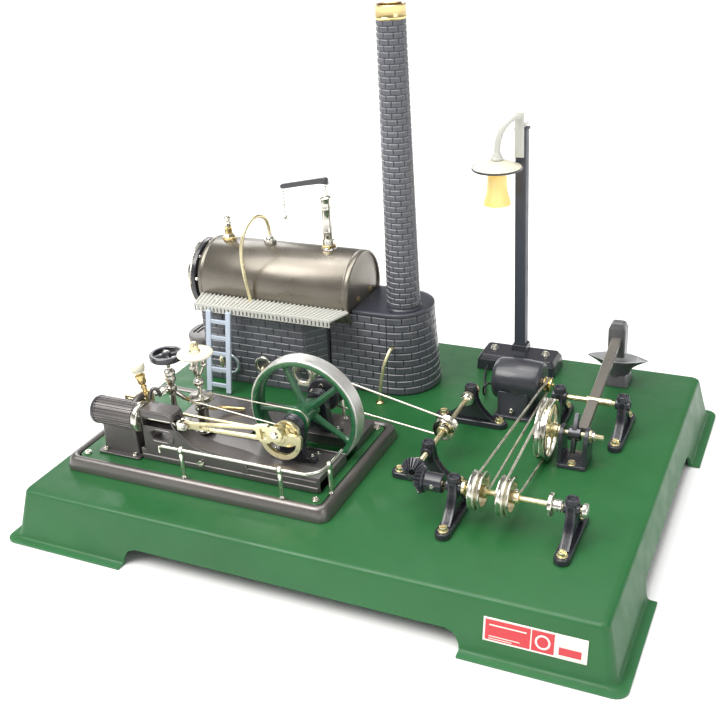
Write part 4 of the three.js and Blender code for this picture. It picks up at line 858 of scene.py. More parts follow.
ci.lathe("z", (-11, 83, 0), [(9.5, 356), (9.5, 349), (0, 349), (0, 348.7), (9.7, 348.7), (9.7, 356)], 48, closed=True)
ci.done("chimney_mouth")

# ------------------------------------------------------------------ boiler
by, bz = 88, 122
bs = B("boiler")
pf = [(0, -201), (28, -201), (28, -196.2), (30, -196.4), (32.6, -196.6), (34.0, -196.2), (34.5, -195.2), (34.5, -193.0), (34.2, -192.5), (34.2, -191.9), (34.5, -191.4), (34.5, -55.6), (34.2, -55.1), (34.2, -54.5), (34.5, -54.0), (34.5, -51.0), (34.1, -50), (33.2, -49.6), (32.2, -50.0), (31.8, -51.2), (30, -51.6), (24, -50.4), (12, -49.7), (0, -49.6)]
bs.lathe("x", (0, by, bz), pf, 160)
bs.done("boiler_barrel", rep="boiler_shell")
bb = B("brass")
for y_ in (-12, 12):
    bb.lathe("x", (0, by + y_, bz - 4), [(0, -50.2), (2.6, -50.2), (2.6, -49.2), (0, -49.0)], 20)
bb.done("boiler_end_rivets")
gf = B("black")
gf.lathe("x", (0, by, bz), [(0, -201.2), (30.6, -201.2), (31.4, -201.8), (31.5, -202.6), (31.5, -205.2), (31.0, -205.7), (0, -205.7)], 128)
gf.done("gauge_flange_plate", rep="gauge_flange")
gg = B("chrome")
gg.lathe("x", (0, by, bz), [(23, -205.6), (31.0, -205.6), (31.8, -206.4), (31.8, -208.4), (31.0, -209.3), (29.6, -209.5), (24.6, -209.5), (23.4, -209.0), (23, -208)], 128, closed=True)
gg.done("gauge_ring")
gl = B("glass")
gl.lathe("x", (0, by, bz), [(0, -205.8), (23.2, -205.8), (23.2, -207.2), (22, -207.8), (12, -208.6), (0, -208.9)], 96)
gl.done("gauge_disc")
gt = B("red")
gt.lathe("x", (0, by, bz), [(21.2, -207.6), (22.2, -207.6), (22.2, -208.0), (21.2, -208.2)], 96, closed=True)
gt.done("gauge_mark")
for i in range(9):
    t = 0.2 + i * 2 * PI / 9
    screw(f"gauge_nut_{i+1}", (-201.2, by + 29.3 * cos(t), bz + 29.3 * sin(t)), 1.75, 1.8, (1, 0, 0), kind="nut", mat="chrome", washer=False, spin=t)
sv = B("brass")
c = (-180, by, 0)
sv.lathe("z", c, [(0, 155.6), (5.8, 155.6), (6.0, 157.4), (5.7, 158.4), (4.4, 159), (4.4, 160.2), (3.6, 161), (3.5, 165.4), (3.8, 166), (3.6, 167), (1.6, 167), (1.5, 161)], 36)
sv.done("safety_valve_base", rep="safety_valve_body")
hexa = B("chrome")
hexa.prism("z", [(-180 + 5.2 * cos(PI / 3 * i), by + 5.2 * sin(PI / 3 * i)) for i in range(6)], 158.6, 161.6, [circ(-180, by, 3.4, 20)])
hexa.done("safety_valve_nut", bevel=0.3)
ss = B("chrome")
ss.lathe("z", c, [(0, 161.4), (1.2, 161.4), (1.2, 167.4), (2.8, 167.6), (3.3, 168.4), (3.3, 171.4), (2.6, 172), (2.6, 172.8), (3.2, 173.4), (3.2, 175.8), (2.2, 176.8), (2.0, 178.0), (0, 178.4)], 36)
ss.done("safety_valve_plunger", "safety_valve_body_moving", rep="safety_valve_stem")
sp = B("gold")
sp.tube([(-138.3, 88, 157), (-138.3, 88, 170), (-138.6, 84.6, 179), (-139.6, 76, 184.4), (-141, 66, 184.4), (-142.6, 57, 179), (-144, 51.4, 170), (-144.4, 48.6, 158), (-143.6, 48, 144), (-142.2, 48.6, 130), (-141, 49.4, 117), (-141, 49.4, 104)], 1.6, 18, 1.4)
sp.done("steam_pipe_bent", rep="steam_pipe")
sn = B("chrome")
sn.prism("z", [(-138.3 + 5.6 * cos(PI / 3 * i + 0.3), by + 5.6 * sin(PI / 3 * i + 0.3)) for i in range(6)], 156.2, 159.6)
sn.lathe("z", (-138.3, by, 0), [(0, 159.4), (4.2, 159.6), (3.6, 161.2), (2.4, 162.4), (2.2, 164.2), (0, 164.2)], 30)
sn.done("steam_pipe_nut", bevel=0.3)
wc = B("chrome")
c = (-80.5, by, 0)
wc.lathe("z", c, [(0, 155.8), (6.4, 155.8), (6.6, 157), (6.0, 158.4), (5.0, 159.2), (5.0, 164.6), (4.2, 165.4), (4.2, 171), (4.6, 171.6), (4.6, 173), (4.2, 173.6), (4.2, 190.8), (4.6, 191.6), (4.6, 193.2), (4.2, 194), (4.2, 199.6), (4.8, 200.4), (4.8, 202), (3.6, 203), (1.8, 203.4), (1.8, 211.4), (0, 211.6)], 40)
wc.done("whistle_tube", rep="whistle_column")
wb = B("brass")
wb.prism("z", [(-80.5 + 6.6 * cos(PI / 3 * i), by + 6.6 * sin(PI / 3 * i)) for i in range(6)], 157, 160.4, [circ(-80.5, by, 4.9, 24)])
wb.done("whistle_nut", bevel=0.3)
wl = B("black")
o = [(-76.9, 213.2), (-76.9, 217.4), (-77.8, 218.8), (-79.6, 219.2), (-82, 218.9), (-100, 215.2), (-120.8, 211.0), (-122.4, 209.8), (-122.5, 208), (-121.2, 207.0), (-118, 207.2), (-100, 210.9), (-84, 213.6)]
wl.prism("y", o, by - 1.6, by + 1.6)
wl.cyl("y", (-79, 0, 216), by - 2.3, by + 2.3, 1.6, 1.6, 20)
wl.done("whistle_lever_arm", "whistle_lever_body", rep="whistle_lever", bevel=0.35)
# chain of the whistle: eight links and a small ball
for i in range(8):
    cl = B("chrome")
    zc = 205.6 - 2.9 * i
    a = PI / 2 * (i % 2) + 0.4
    pts = []
    for t in [2 * PI * k / 14 for k in range(14)]:
        u, w = 0.95 * cos(t), 1.9 * sin(t)
        pts.append((-120.4 + u * cos(a), by + u * sin(a), zc + w))
    cl.tube(pts, 0.32, 8, 0.6, closed=True)
    cl.done(f"whistle_chain_link_{i+1}", "whistle_lever_body")
cb = B("chrome")
cb.lathe("z", (-120.4, by, 0), [(0, 179.4), (1.2, 179.7), (1.9, 181), (1.5, 182.4), (0.6, 183.2), (0, 183.2)], 20)
cb.done("whistle_chain_pull", "whistle_lever_body")
# ------------------------------------------------------------------ walkway and ladder
WX0, WX1 = -187.5, -56.0
def deck(z, e=0.0):
    return [(WX0 + e, 31 + e, z), (WX1 - e, 31 + e, z), (-49 - e, 53.1 - e, z), (-193.5 + e, 53.1 - e, z)]
ww = B("pale")
ww.loft([deck(113.9), deck(115.5)])
nr = 36
for i in range(nr):
    t = (i + 0.5) / nr
    xa, xb = WX0 + (WX1 - WX0) * t, -193.5 + 144.5 * t
    ww.loft([[(xa - 1.0, 31.1, 115.4), (xa + 1.0, 31.1, 115.4), (xb + 1.0, 53.0, 115.4), (xb - 1.0, 53.0, 115.4)], [(xa - 0.6, 31.1, 116.9), (xa + 0.6, 31.1, 116.9), (xb + 0.6, 53.0, 116.9), (xb - 0.6, 53.0, 116.9)]])
for x, y in ((-150, 42), (-100, 42), (-170, 42)):
    ww.lathe("z", (x, y, 0), [(0, 116), (1.8, 116), (1.8, 117.3), (1.2, 117.7), (0, 117.8)], 18)
ww.done("walkway_deck", rep="walkway")
wf = B("pale")
for i in range(nr + 1):
    x = WX0 + (WX1 - WX0) * i / nr
    wf.box(max(WX0, x - 1.15), min(WX1, x + 1.15), 30.8, 32.3, 109.6, 115.6)
wf.box(WX0, WX1, 30.9, 32.2, 114.6, 116.4)
wf.box(WX0, WX1, 31.1, 32.1, 109.3, 110.0)
wf.done("walkway_fringe", bevel=0.15)
wg = B("pale")
for x in (-181, -122, -63):
    wg.prism("x", [(33, 113.8), (53, 113.8), (53, 108), (50, 108)], x - 1, x + 1)
wg.done("walkway_brackets")
ld = B("ladder")
for x in (-171.8, -152.2):
    ld.loft([[(x - 2.4, 14.8, 40.8), (x + 2.4, 14.8, 40.8), (x + 2.4, 17.2, 40.8), (x - 2.4, 17.2, 40.8)], [(x - 2.4, 28.2, 112), (x + 2.4, 28.2, 112), (x + 2.4, 30.6, 112), (x - 2.4, 30.6, 112)]])
for i in range(5):
    z = 46.6 + 14 * i
    y = 16 + 13 * (z - 40.4) / 68.6
    ld.box(-171, -153, y - 0.9, y + 0.9, z - 1.8, z + 1.8)
ld.done("ladder_rungs", rep="ladder", bevel=0.35)
# ------------------------------------------------------------------ burner drawer
bu = B("cast")
bu.box(-188.5, -96, 56, 108, 47, 49.4).box(-188.5, -96, 56, 58.2, 47, 62).box(-188.5, -96, 105.8, 108, 47, 62).box(-98.2, -96, 56, 108, 47, 62)
bu.loft([[(-188.4, y, z) for y, z in rrect(54, 110, 45, 74.5, 1.5, 3)], [(-190.5, y, z) for y, z in rrect(54, 110, 45, 74.5, 1.5, 3)]])
bu.done("burner_tray", "burner_body", rep="burner_drawer", bevel=0.4)
bg = B("cast")
def grip(k, z):
    pts = []
    for i in range(48):
        t = 2 * PI * i / 48
        pts.append((min(-190.6, -207 + 20 * k * cos(t)), 80 + 24 * k * sin(t), z))
    return pts
bg.loft([grip(0.93, 60.6), grip(1.0, 61.8), grip(1.0, 65.4), grip(0.985, 66.2), grip(0.93, 66.7), grip(0.6, 67.0)])
for x in (-220.5, -216.2):
    bg.loft([[(px_, py_, 66.3) for px_, py_ in rrect(x - 0.8, x + 0.8, 70, 90, 0.7, 3)], [(px_, py_, 68.0) for px_, py_ in rrect(x - 0.55, x + 0.55, 70.4, 89.6, 0.5, 3)]])
bg.done("burner_grip", "burner_body")
# ------------------------------------------------------------------ pipes in front of the house
ex = B("spring")
p = [(-93.8, 39.4, 62), (-93.6, 36, 62)]
for i in range(0, 41):
    t = PI - 2 * PI * 1.80 * i / 40
    p.append((-84.8 + 8.6 * cos(t), 33.6 - 6.2 * i / 40, 63.4 + 8.6 * sin(t)))
p += [(-80.6, 24.4, 56.0), (-74.6, 22, 58.4), (-70.6, 20.4, 64.6), (-66.4, 18.4, 71), (-60, 14.4, 75.4), (-50, 7, 77.6), (-41, 0, 77.2), (-33.4, -5.4, 73.4), (-28.8, -8.8, 67), (-26.9, -10.8, 59), (-26.5, -12.4, 50.1)]
ex.tube(p, 1.5, 14, 1.2)
ex.done("exhaust_pipe_loop", rep="exhaust_pipe")
dp = B("gold")
dp.tube([(-12.6, 58.6, 84.5), (-12.7, 56.2, 85.4), (-13.2, 53.6, 84.4), (-15, 49, 78), (-16.4, 46.8, 72), (-17.6, 45, 64), (-18.8, 43.3, 54), (-19.3, 42.5, 46), (-19.4, 42.3, 41)], 1.5, 16, 1.2)
dp.done("drain_pipe_bent", rep="drain_pipe")
dn = B("brass")
dn.lathe("z", (-19.4, 42.3, 0), [(1.5, 40.05), (3.6, 40.05), (3.6, 41.2), (2.4, 42.2), (1.5, 42.4)], 24, closed=True)
dn.done("drain_ferrule")
for nm, mt_, cxx, cy_, cz, r in (("coil_ring_left", "blued", -160.6, 36.4, 59, 8.5), ("coil_ring_mid", "chrome", -126.6, 36.2, 62.6, 7.0)):
    q = B(mt_)
    pts = [(cxx + r * cos(t), cy_ + 1.6 * sin(t * 0.5), cz + r * sin(t)) for t in [2 * PI * k / 40 for k in range(40)]]
    q.tube([(a, cy_, cc_) for a, _, cc_ in pts], 1.5, 14, 1.2, closed=True)
    q.done(nm)
el = B("gold")
el.tube([(-169.0, 39.2, 63), (-169.2, 36.2, 63), (-168.4, 35.4, 60), (-168.0, 36, 57)], 2.1, 14, 0.8)
el.lathe("y", (-169, 0, 63), [(0, 38.0), (3.4, 38.0), (3.4, 39.4), (0, 39.4)], 24)
el.tube([(-126.6, 39.2, 60), (-126.6, 34.6, 60), (-126.2, 33.6, 57), (-125.6, 34, 55.6)], 1.7, 14, 0.8)
el.done("coil_elbows")
# ------------------------------------------------------------------ shaft pedestals
def pedestal(name, node, x, y, along, bush=()):
    b = B("plastic")
    b.m = Matrix.Translation((x, y, 0)) @ Matrix.Rotation(PI / 2 if along == "y" else 0, 4, "Z")
    foot = [(-yy, xx) for xx, yy in []]
    st = [(-q_, p_) for p_, q_ in circ(24.5, 0, 5.5, 14, -PI / 2, PI / 2) + circ(-24.5, 0, 5.5, 14, PI / 2, 1.5 * PI)]
    st2 = [(a * 0.86, v * 0.985) for a, v in st]
    b.loft([[(a, v, 40.3) for a, v in st], [(a, v, 43.4) for a, v in st], [(a * 0.97, v * 0.997, 44.2) for a, v in st], [(a * 0.86, v * 0.985, 44.7) for a, v in st]])
    side = [(-19.5, 44), (19.5, 44)]
    right_ = [(19.5, 45.2), (15.0, 48.4), (11.0, 52.4), (7.8, 56.8), (5.8, 61.4), (4.9, 66.0), (4.7, 69.4)]
    web = right_ + [(-u, w) for u, w in reversed(right_)]
    b.prism("x", web, -2.0, 2.0)
    for sg in (1, -1):
        outer = [(sg * u, w) for u, w in right_]
        inner = [(sg * (u - 1.5), w - 0.6) for u, w in right_]
        b.loft([[(-3.3, o_[0], o_[1]), (3.3, o_[0], o_[1]), (3.3, i_[0], i_[1]), (-3.3, i_[0], i_[1])] for o_, i_ in zip(outer, inner)])
    # upright bearing post with a ribbed oil cap, and a short boss along the shaft
    b.lathe("z", (0, 0, 0), [(0, 57.5), (3.6, 57.6), (4.5, 59.4), (4.7, 62), (4.7, 68.6), (4.3, 69.0), (0, 69.0)], 36)
    b.lathe("x", (0, 0, 66), [(2.35, -5.7), (3.7, -5.7), (4.1, -5.3), (4.1, 5.3), (3.7, 5.7), (2.35, 5.7)], 36, closed=True)
    cap = []
    for i in range(64):
        r_ = 4.9 if (i // 2) % 2 else 4.4
        t = 2 * PI * i / 64
        cap.append((r_ * cos(t), r_ * sin(t)))
    b.prism("z", cap, 69.2, 72.9)
    b.lathe("z", (0, 0, 0), [(0, 68.8), (4.0, 68.8), (4.0, 69.4), (0, 69.4)], 32)
    b.lathe("z", (0, 0, 0), [(0, 72.6), (4.6, 72.7), (4.7, 73.3), (4.3, 74.0), (3.1, 74.1), (2.7, 73.4), (2.6, 72.8), (0, 72.8)], 36)
    ob = b.done(name, rep=node, bevel=0.35)
    for i, v in enumerate((-23.5, 23.5)):
        px, py = (x, y + v) if along == "x" else (x - v, y)
        screw(f"{name}_screw_{i+1}", (px, py, 44.6), 2.9, 2.6, kind="slot", mat="gold", washer=True, spin=0.6 + i + x * 0.03)
    if bush:
        b2 = B("gold")
        ax_, cc_, m0 = ("y", (x, 0, 66), y) if along == "y" else ("x", (0, y, 66), x)
        for sg in bush:
            lo_, hi_b = sorted((m0 + sg * 5.9, m0 + sg * 8.6))
            b2.lathe(ax_, cc_, [(2.1, lo_), (4.6, lo_), (5.0, lo_ + 0.4), (5.0, hi_b - 0.4), (4.6, hi_b), (2.1, hi_b)], 36, closed=True)
        b2.done(name + "_bush")


pedestal("pedestal_line_back_cast", "pedestal_line_back", 64.3, 36, "y", (1, -1))
pedestal("pedestal_line_front_cast", "pedestal_line_front", 64.3, -57, "y")
pedestal("pedestal_cross_left_cast", "pedestal_cross_left", 98, -95, "x", (1,))
pedestal("pedestal_cross_right_cast", "pedestal_cross_right", 180, -95, "x")
pedestal("pedestal_hammer_left_cast", "pedestal_hammer_left", 131.5, 54.5, "x")
pedestal("pedestal_hammer_right_cast", "pedestal_hammer_right", 181, 54.5, "x")
# ------------------------------------------------------------------ shafts, pulleys, gears
LX, CY, SZ = 64.3, -95, 66
ls = B("gold")
ls.lathe("y", (LX, 0, SZ), [(0, -84), (1.7, -84), (2, -83.6), (2, 43.6), (1.7, 44), (0, 44)], 32)
ls.done("line_shaft_bar", "line_body", rep="line_shaft")


def double_pulley(name, body, axis, c, m_, ro, rg, w, hub_r, hub_a, hub_b, mats=("chrome", "gold"), spokes=0, disc=True):
    b = B(mats[0])
    h = w / 2
    g = h - 1.5
    ri = rg - 1.6
    b.lathe(axis, c, [(ri, m_ - h + 0.6), (ro - 0.7, m_ - h), (ro, m_ - h + 0.5), (ro, m_ - g - 0.5), (ro - 0.5, m_ - g), (rg + 0.1, m_ - g * 0.5), (rg, m_), (rg + 0.1, m_ + g * 0.5), (ro - 0.5, m_ + g), (ro, m_ + g + 0.5), (ro, m_ + h - 0.5), (ro - 0.7, m_ + h), (ri, m_ + h - 0.6)], 96, closed=True)
    b.done(name + "_rim", body)
    d = B(mats[1])
    if disc:
        d.lathe(axis, c, [(2, m_ - 1.2), (ri + 0.3, m_ - 1.0), (ri + 0.3, m_ + 1.0), (2, m_ + 1.2)], 72, closed=True)
    d.lathe(axis, c, [(2, hub_a), (hub_r - 0.5, hub_a), (hub_r, hub_a + 0.5), (hub_r, hub_b - 0.5), (hub_r - 0.5, hub_b), (2, hub_b)], 40, closed=True)
    d.done(name + "_hub", body)


double_pulley("line_pulley", "line_body", "y", (LX, 0, SZ), -22, 9, 7.0, 9, 4.6, -30, -14)
screw("line_pulley_setscrew", (LX, -28.2, SZ + 4.4), 1.6, 1.8, (0, 0, 1), "line_body", "chrome", "slot", False)
lc = B("chrome")
lc.lathe("y", (LX, 0, SZ), [(2, 22.4), (4, 22.4), (4.4, 22.8), (4.4, 26.2), (5.6, 26.4), (5.6, 27.2), (2, 27.2)], 36, closed=True)
lc.done("line_shaft_collar", "line_body")
xs = B("gold")
xs.lathe("x", (0, CY, SZ), [(0, 75.4), (1.7, 75.4), (2, 75.8), (2, 188), (0, 188)], 32)
xs.done("cross_shaft_bar", "cross_body", rep="cross_shaft")
double_pulley("cross_pulley_left", "cross_body", "x", (0, CY, SZ), 115.5, 14, 12.2, 9, 4.4, 107.6, 121.5)
double_pulley("cross_pulley_right", "cross_body", "x", (0, CY, SZ), 135.5, 14, 12.2, 9, 4.4, 127.8, 144.5)
for nm, x in (("left", 109.6), ("right", 142.4)):
    screw(f"cross_pulley_{nm}_setscrew", (x, CY, SZ + 4.2), 1.5, 1.8, (0, 0, 1), "cross_body", "chrome", "slot", False)
xc = B("chrome")
xc.lathe("x", (0, CY, SZ), [(2, 164.6), (7.6, 164.6), (8.2, 165.1), (8.2, 167.0), (7.6, 167.5), (2, 167.5)], 48, closed=True)
xc.done("cross_shaft_washer", "cross_body")
xk = B("steel")
xk.lathe("x", (0, CY, SZ), [(2, 167.4), (3.8, 167.4), (4.2, 167.9), (4.2, 170.6), (3.7, 171.0), (4.2, 171.4), (4.2, 172.9), (3.8, 173.4), (2, 173.4)], 40, closed=True)
xk.lathe("x", (0, CY, SZ), [(0, 186.9), (4.4, 186.9), (5.0, 187.5), (5.0, 189.6), (4.4, 190.4), (2.6, 190.8), (0, 190.8)], 40)
xk.done("cross_shaft_collars", "cross_body")


def gear(name, body, node, axis, rot, hub=5.2, end=18.8):
    b = B("plastic")
    b.m = Matrix.Translation((LX, CY, SZ)) @ rot
    b.lathe("x", (0, 0, 0), [(2.3, 5.8), (3.4, 5.6), (8.4, 10.7), (9.2, 11.9), (8.6, 12.9), (hub + 0.4, 13.2), (hub, 14), (hub, end - 0.6), (hub - 0.6, end), (2.3, end)], 64, closed=True)
    nt_ = 20
    for i in range(nt_):
        a = 2 * PI * (i + (0.0 if axis == "x" else 0.5)) / nt_
        R = Matrix.Rotation(a, 4, "X")
        old = b.m
        b.m = old @ R
        lo, hi = 4.4, 11.6      # along the cone
        rings = []
        for s_, w_ in ((5.9, 0.42), (12.6, 0.78)):
            ax, ra = s_ * 0.78 + 1.2, s_ * 0.78 - 0.5
            rings.append([(ax + 0.3, -w_, ra - 1.0), (ax + 0.3, w_, ra - 1.0), (ax - 0.95, w_ * 0.55, ra + 0.95), (ax - 0.95, -w_ * 0.55, ra + 0.95)])
        b.loft(rings)
        b.m = old
    b.done(name, body, rep=node, bevel=0.12)


gear("bevel_gear_cross_toothed", "cross_body", "bevel_gear_cross", "x", Matrix.Identity(4), 6.8, 26)
gear("bevel_gear_line_toothed", "line_body", "bevel_gear_line", "y", Matrix.Rotation(PI / 2, 4, "Z"))
screw("gear_line_screw", (LX, CY + 16.2, SZ + 5.0), 1.5, 1.4, (0, 0, 1), "line_body", "chrome", "slot", False)
screw("gear_cross_screw", (LX + 19.5, CY - 6.5, SZ + 0.5), 1.6, 1.5, (0, -1, 0), "cross_body", "chrome", "slot", False)
# ------------------------------------------------------------------ belts (coil springs)
def loop2(c1, r1, c2, r2, n=20):
    dx, dy = c2[0] - c1[0], c2[1] - c1[1]
    Ln = math.hypot(dx, dy)
    a = math.atan2(dy, dx)
    k = math.acos((r1 - r2) / Ln)
    pts = [(c1[0] + r1 * cos(a + k + (2 * PI - 2 * k) * i / n), c1[1] + r1 * sin(a + k + (2 * PI - 2 * k) * i / n)) for i in range(n + 1)]
    pts += [(c2[0] + r2 * cos(a - k + 2 * k * i / n), c2[1] + r2 * sin(a - k + 2 * k * i / n)) for i in range(n + 1)]
    return pts


def resample(pts, step, closed=True):
    P = [Vector(p) for p in pts]
    if closed:
        P.append(P[0])
    ds = [0]
    for a, b_ in zip(P, P[1:]):
        ds.append(ds[-1] + (b_ - a).length)
    n_ = int(ds[-1] / step) // 2 * 2
    out, j = [], 0
    for i in range(n_):
        d = ds[-1] * i / n_
        while ds[j + 1] < d:
            j += 1
        t = (d - ds[j]) / max(1e-9, ds[j + 1] - ds[j])
        out.append(P[j].lerp(P[j + 1], t))
    return out


def spring_belt(name, node, pts, r=1.0, step=0.55):
    b = B("spring")
    b.tube([tuple(p) for p in resample(pts, step)], r, 10, smooth_path=False, rib=0.72, closed=True)
    return b.done(name, rep=node, angle=80)


spring_belt("engine_belt_spring", "engine_belt", [(x, -22, z) for x, z in loop2((AX, AZ), 12.5, (LX, SZ), 7.9)])
a = math.atan2(117.5 - 115.5, 72 - CY)
spring_belt("dynamo_belt_spring", "dynamo_belt", [(115.5 + (y - CY) * math.tan(a), y, z) for y, z in loop2((CY, 66), 13.2, (72, 65), 4.8)])
spring_belt("hammer_belt_spring", "hammer_belt", [(135.5, y, z) for y, z in loop2((CY, 66), 13.2, (3, 64.5), 22.4)])
r = 8.2
gp = []
for i in range(17):
    t = PI / 2 + PI * i / 16
    gp.append((-118.7 + r * cos(t), -72 + r * sin(t), 87))
for i in range(17):
    t = -PI / 2 + PI * i / 16
    gp.append((AX + 8.7 * cos(t), -74.5, AZ + 8.7 * sin(t)))
spring_belt("governor_belt_spring", "governor_belt", gp, 0.65, 0.45)
# ------------------------------------------------------------------ dynamo
dh = B("dynamo")
dh.lathe("x", (0, 72, 65), [(0, 73.5), (12.4, 73.5), (14.8, 74.0), (16.2, 75.4), (16.9, 77.6), (17.5, 83), (18.0, 90), (18.1, 95), (17.9, 101), (17.4, 107), (16.9, 110.6), (16.2, 112.4), (14.6, 113.4), (0, 113.5)], 96)
dh.taper((80.5, 105.5, 51, 93), 40.3, (79.4, 106.6, 54.4, 89.6), 62, r=3, n=4)
dh.taper((77.5, 108.5, 48.6, 95.4), 40.3, (78.2, 107.8, 49.3, 94.7), 42.6, r=3, n=4)
dh.done("dynamo_case", rep="dynamo_housing", bevel=0.5, bseg=3)
dc = B("chrome")
dc.lathe("x", (0, 72, 65), [(1.6, 113.4), (5.4, 113.4), (5.6, 113.8), (5.6, 114.6), (4.8, 115.2), (1.6, 115.2)], 36, closed=True)
dc.done("dynamo_end_cap")
screw("dynamo_foot_screw", (93, 51.0, 47.5), 2.0, 1.6, (0, -1, 0.15), mat="chrome", washer=False)
dg = B("brass")
dg.lathe("x", (0, 72, 65), [(0, 105), (1.3, 105), (1.3, 121.6), (1.0, 122.2), (0, 122.2)], 24)
dg.lathe("x", (0, 72, 65), [(1.2, 114), (4.6, 114), (6, 114.4), (6, 115.2), (4.3, 116.7), (3.9, 117.5), (4.3, 118.3), (6, 119.8), (6, 120.6), (4.6, 121), (1.2, 121)], 44, closed=True)
dg.done("dynamo_shaft_pulley", "dynamo_body", rep="dynamo_shaft")
# ------------------------------------------------------------------ lamp wire
WIRE = [(73, 66, 60.5), (69.5, 63.5, 62.5), (66.3, 62, 60), (65, 64, 53), (62, 76, 44.5), (57, 92, 42.2), (51, 108, 42.2), (48, 120, 43), (47.6, 128.4, 45.5)]
wp = path(WIRE, 3.0)
wi = B("cable")
wi.tube([tuple(p) for p in wp], 0.9, 14, smooth_path=False)
wire = wi.done("lamp_cable", rep="lamp_wire")
# ------------------------------------------------------------------ street lamp
lb = B("plastic")
lb.taper((36, 107, 129, 161), 40.3, (37.0, 106.0, 130, 160), 49.8, r=3, n=5)
lb.taper((37.0, 106.0, 130, 160), 49.8, (39.5, 103.5, 132.5, 157.5), 54, r=3, n=5)
lb.taper((62.6, 77.4, 146.1, 160.4), 53.8, (63.6, 76.4, 147.1, 159.8), 59, r=1.5, n=3)
lb.done("lamp_base", rep="lamp_post", bevel=0.5, bseg=3)
lpost = B("post")
lpost.taper((65, 75, 148.5, 158.5), 54, (65.3, 74.7, 148.8, 158.2), 251.6, r=1.2, n=3)
lpost.taper((64.4, 75.6, 147.9, 159.1), 250.4, (64.4, 75.6, 147.9, 159.1), 252.2, r=1.2, n=3)
lpost.taper((65, 75, 148.5, 158.5), 252.2, (68, 72, 151.5, 155.5), 253.0, r=1.0, n=3)
lpost.done("lamp_post_square", bevel=0.3)
for i, x in enumerate((48, 94.5)):
    screw(f"lamp_base_screw_{i+1}", (x, 146, 54), 2.9, 2.2, mat="chrome", washer=True, spin=0.3 + i)
la = B("pale")
la.tube([(69.6, 146.4, 262), (69.4, 144.2, 263), (68.2, 141.0, 263.6), (65.6, 137.2, 262.4), (62.4, 133.8, 259), (59.2, 131.6, 253.6), (57.0, 130.4, 246), (56.1, 130, 238.6), (56, 130, 233)], 2.6, 22, 1.0)
la.taper((65.5, 73.5, 145.6, 148.2), 229, (65.5, 73.5, 145.6, 148.2), 266, r=0.8, n=2)
la.box(65.5, 73.5, 145.8, 158, 253.3, 256)
la.lathe("z", (56, 130, 0), [(0, 230.9), (5.2, 230.9), (5.2, 232.4), (4.2, 233.4), (3.6, 236), (3.0, 237), (0, 237)], 36)
la.done("lamp_bracket", rep="lamp_arm", bevel=0.35)
sh = B("cream")
sh.lathe("z", (56, 130, 0), [(3.2, 230.6), (6.4, 230.4), (10, 229.2), (14.4, 227.2), (18.6, 225.4), (20.2, 224.8), (20.2, 224.0), (18.4, 224.2), (13, 226.0), (8, 227.6), (3.2, 228.2)], 96, closed=True)
sh.done("lamp_shade_dish", rep="lamp_shade")
sr = B("black")
sr.lathe("z", (56, 130, 0), [(19.9, 224.9), (20.5, 224.9), (20.8, 224.3), (20.6, 223.3), (20.1, 223.1), (19.6, 223.8)], 96, closed=True)
sr.done("lamp_shade_rim")
lg = B("amber")
lg.lathe("z", (56, 130, 0), [(0, 227.4), (2.8, 227.4), (3.0, 223), (4.6, 221.4), (7.0, 219.4), (7.9, 216.4), (8.1, 211.6), (8.3, 207), (9.2, 201.8), (10.6, 197), (11.4, 193.8), (10.9, 193.6), (9.6, 197), (8.0, 202), (6.9, 206.6), (5.0, 207.8), (0, 208.0)], 72)
lg.done("lamp_glass", rep="lamp_globe")
# ------------------------------------------------------------------ trip hammer
hb = B("plastic")
hb.taper((146, 168, -9, 16), 40.3, (146.4, 167.6, -8.6, 15.6), 43.2, r=1.5, n=3)
arm_ = [(-7, 42.6), (13, 42.6), (12.2, 56), (11.6, 62), (10.4, 66), (8.2, 68.6), (5.4, 69.8), (0.6, 69.8), (-2.2, 68.6), (-4.4, 66), (-5.6, 62), (-6.2, 56)]
hb.prism("x", arm_, 146, 149.2, [circ(3, 64.5, 2.4, 20)]).prism("x", arm_, 164.8, 168, [circ(3, 64.5, 2.4, 20)])
hb.done("hammer_bracket_cast", rep="hammer_bracket", bevel=0.45)
hbb = B("gold")
for x0, x1 in ((144.9, 146), (168, 169.2)):
    hbb.lathe("x", (0, 3, 64.5), [(2.05, x0), (4.6, x0), (4.6, x1), (2.05, x1)], 32, closed=True)
hbb.done("hammer_bracket_bushes")
screw("hammer_bracket_bolt", (157, -5.6, 43.2), 2.6, 1.8, mat="gold", kind="slot", washer=True)
HC = (0, 3, 64.5)
hsft = B("gold")
hsft.lathe("x", HC, [(0, 129.6), (1.7, 129.6), (2, 130), (2, 177.6), (1.7, 178), (0, 178)], 32)
hsft.done("cam_shaft_bar", "cam_body", rep="cam_shaft")
hc = B("chrome")
hc.lathe("x", HC, [(2, 169.4), (3.4, 169.4), (3.6, 169.8), (3.6, 171.6), (2, 171.6)], 30, closed=True)
hc.done("cam_shaft_collar", "cam_body")
tp = B("dark_steel")
tap = [(-15.4, -1.2), (-10, -2.4), (-4, -4.4), (4, -4.4), (10, -2.4), (15.4, -1.2), (15.4, 1.2), (10, 2.4), (4, 4.4), (-4, 4.4), (-10, 2.4), (-15.4, 1.2)]
tp.prism("x", [(3 - b_ * 0.92 + a_ * 0.39, 64.5 + a_ * 0.92 + b_ * 0.39) for a_, b_ in tap], 155.2, 158.4)
tp.lathe("x", HC, [(2, 152.4), (5, 152.4), (5.2, 152.9), (5.2, 161.2), (5, 161.6), (2, 161.6)], 32, closed=True)
tp.done("hammer_tappet", "cam_body", bevel=0.35)
m_ = 135.5
hp_ = B("chrome")
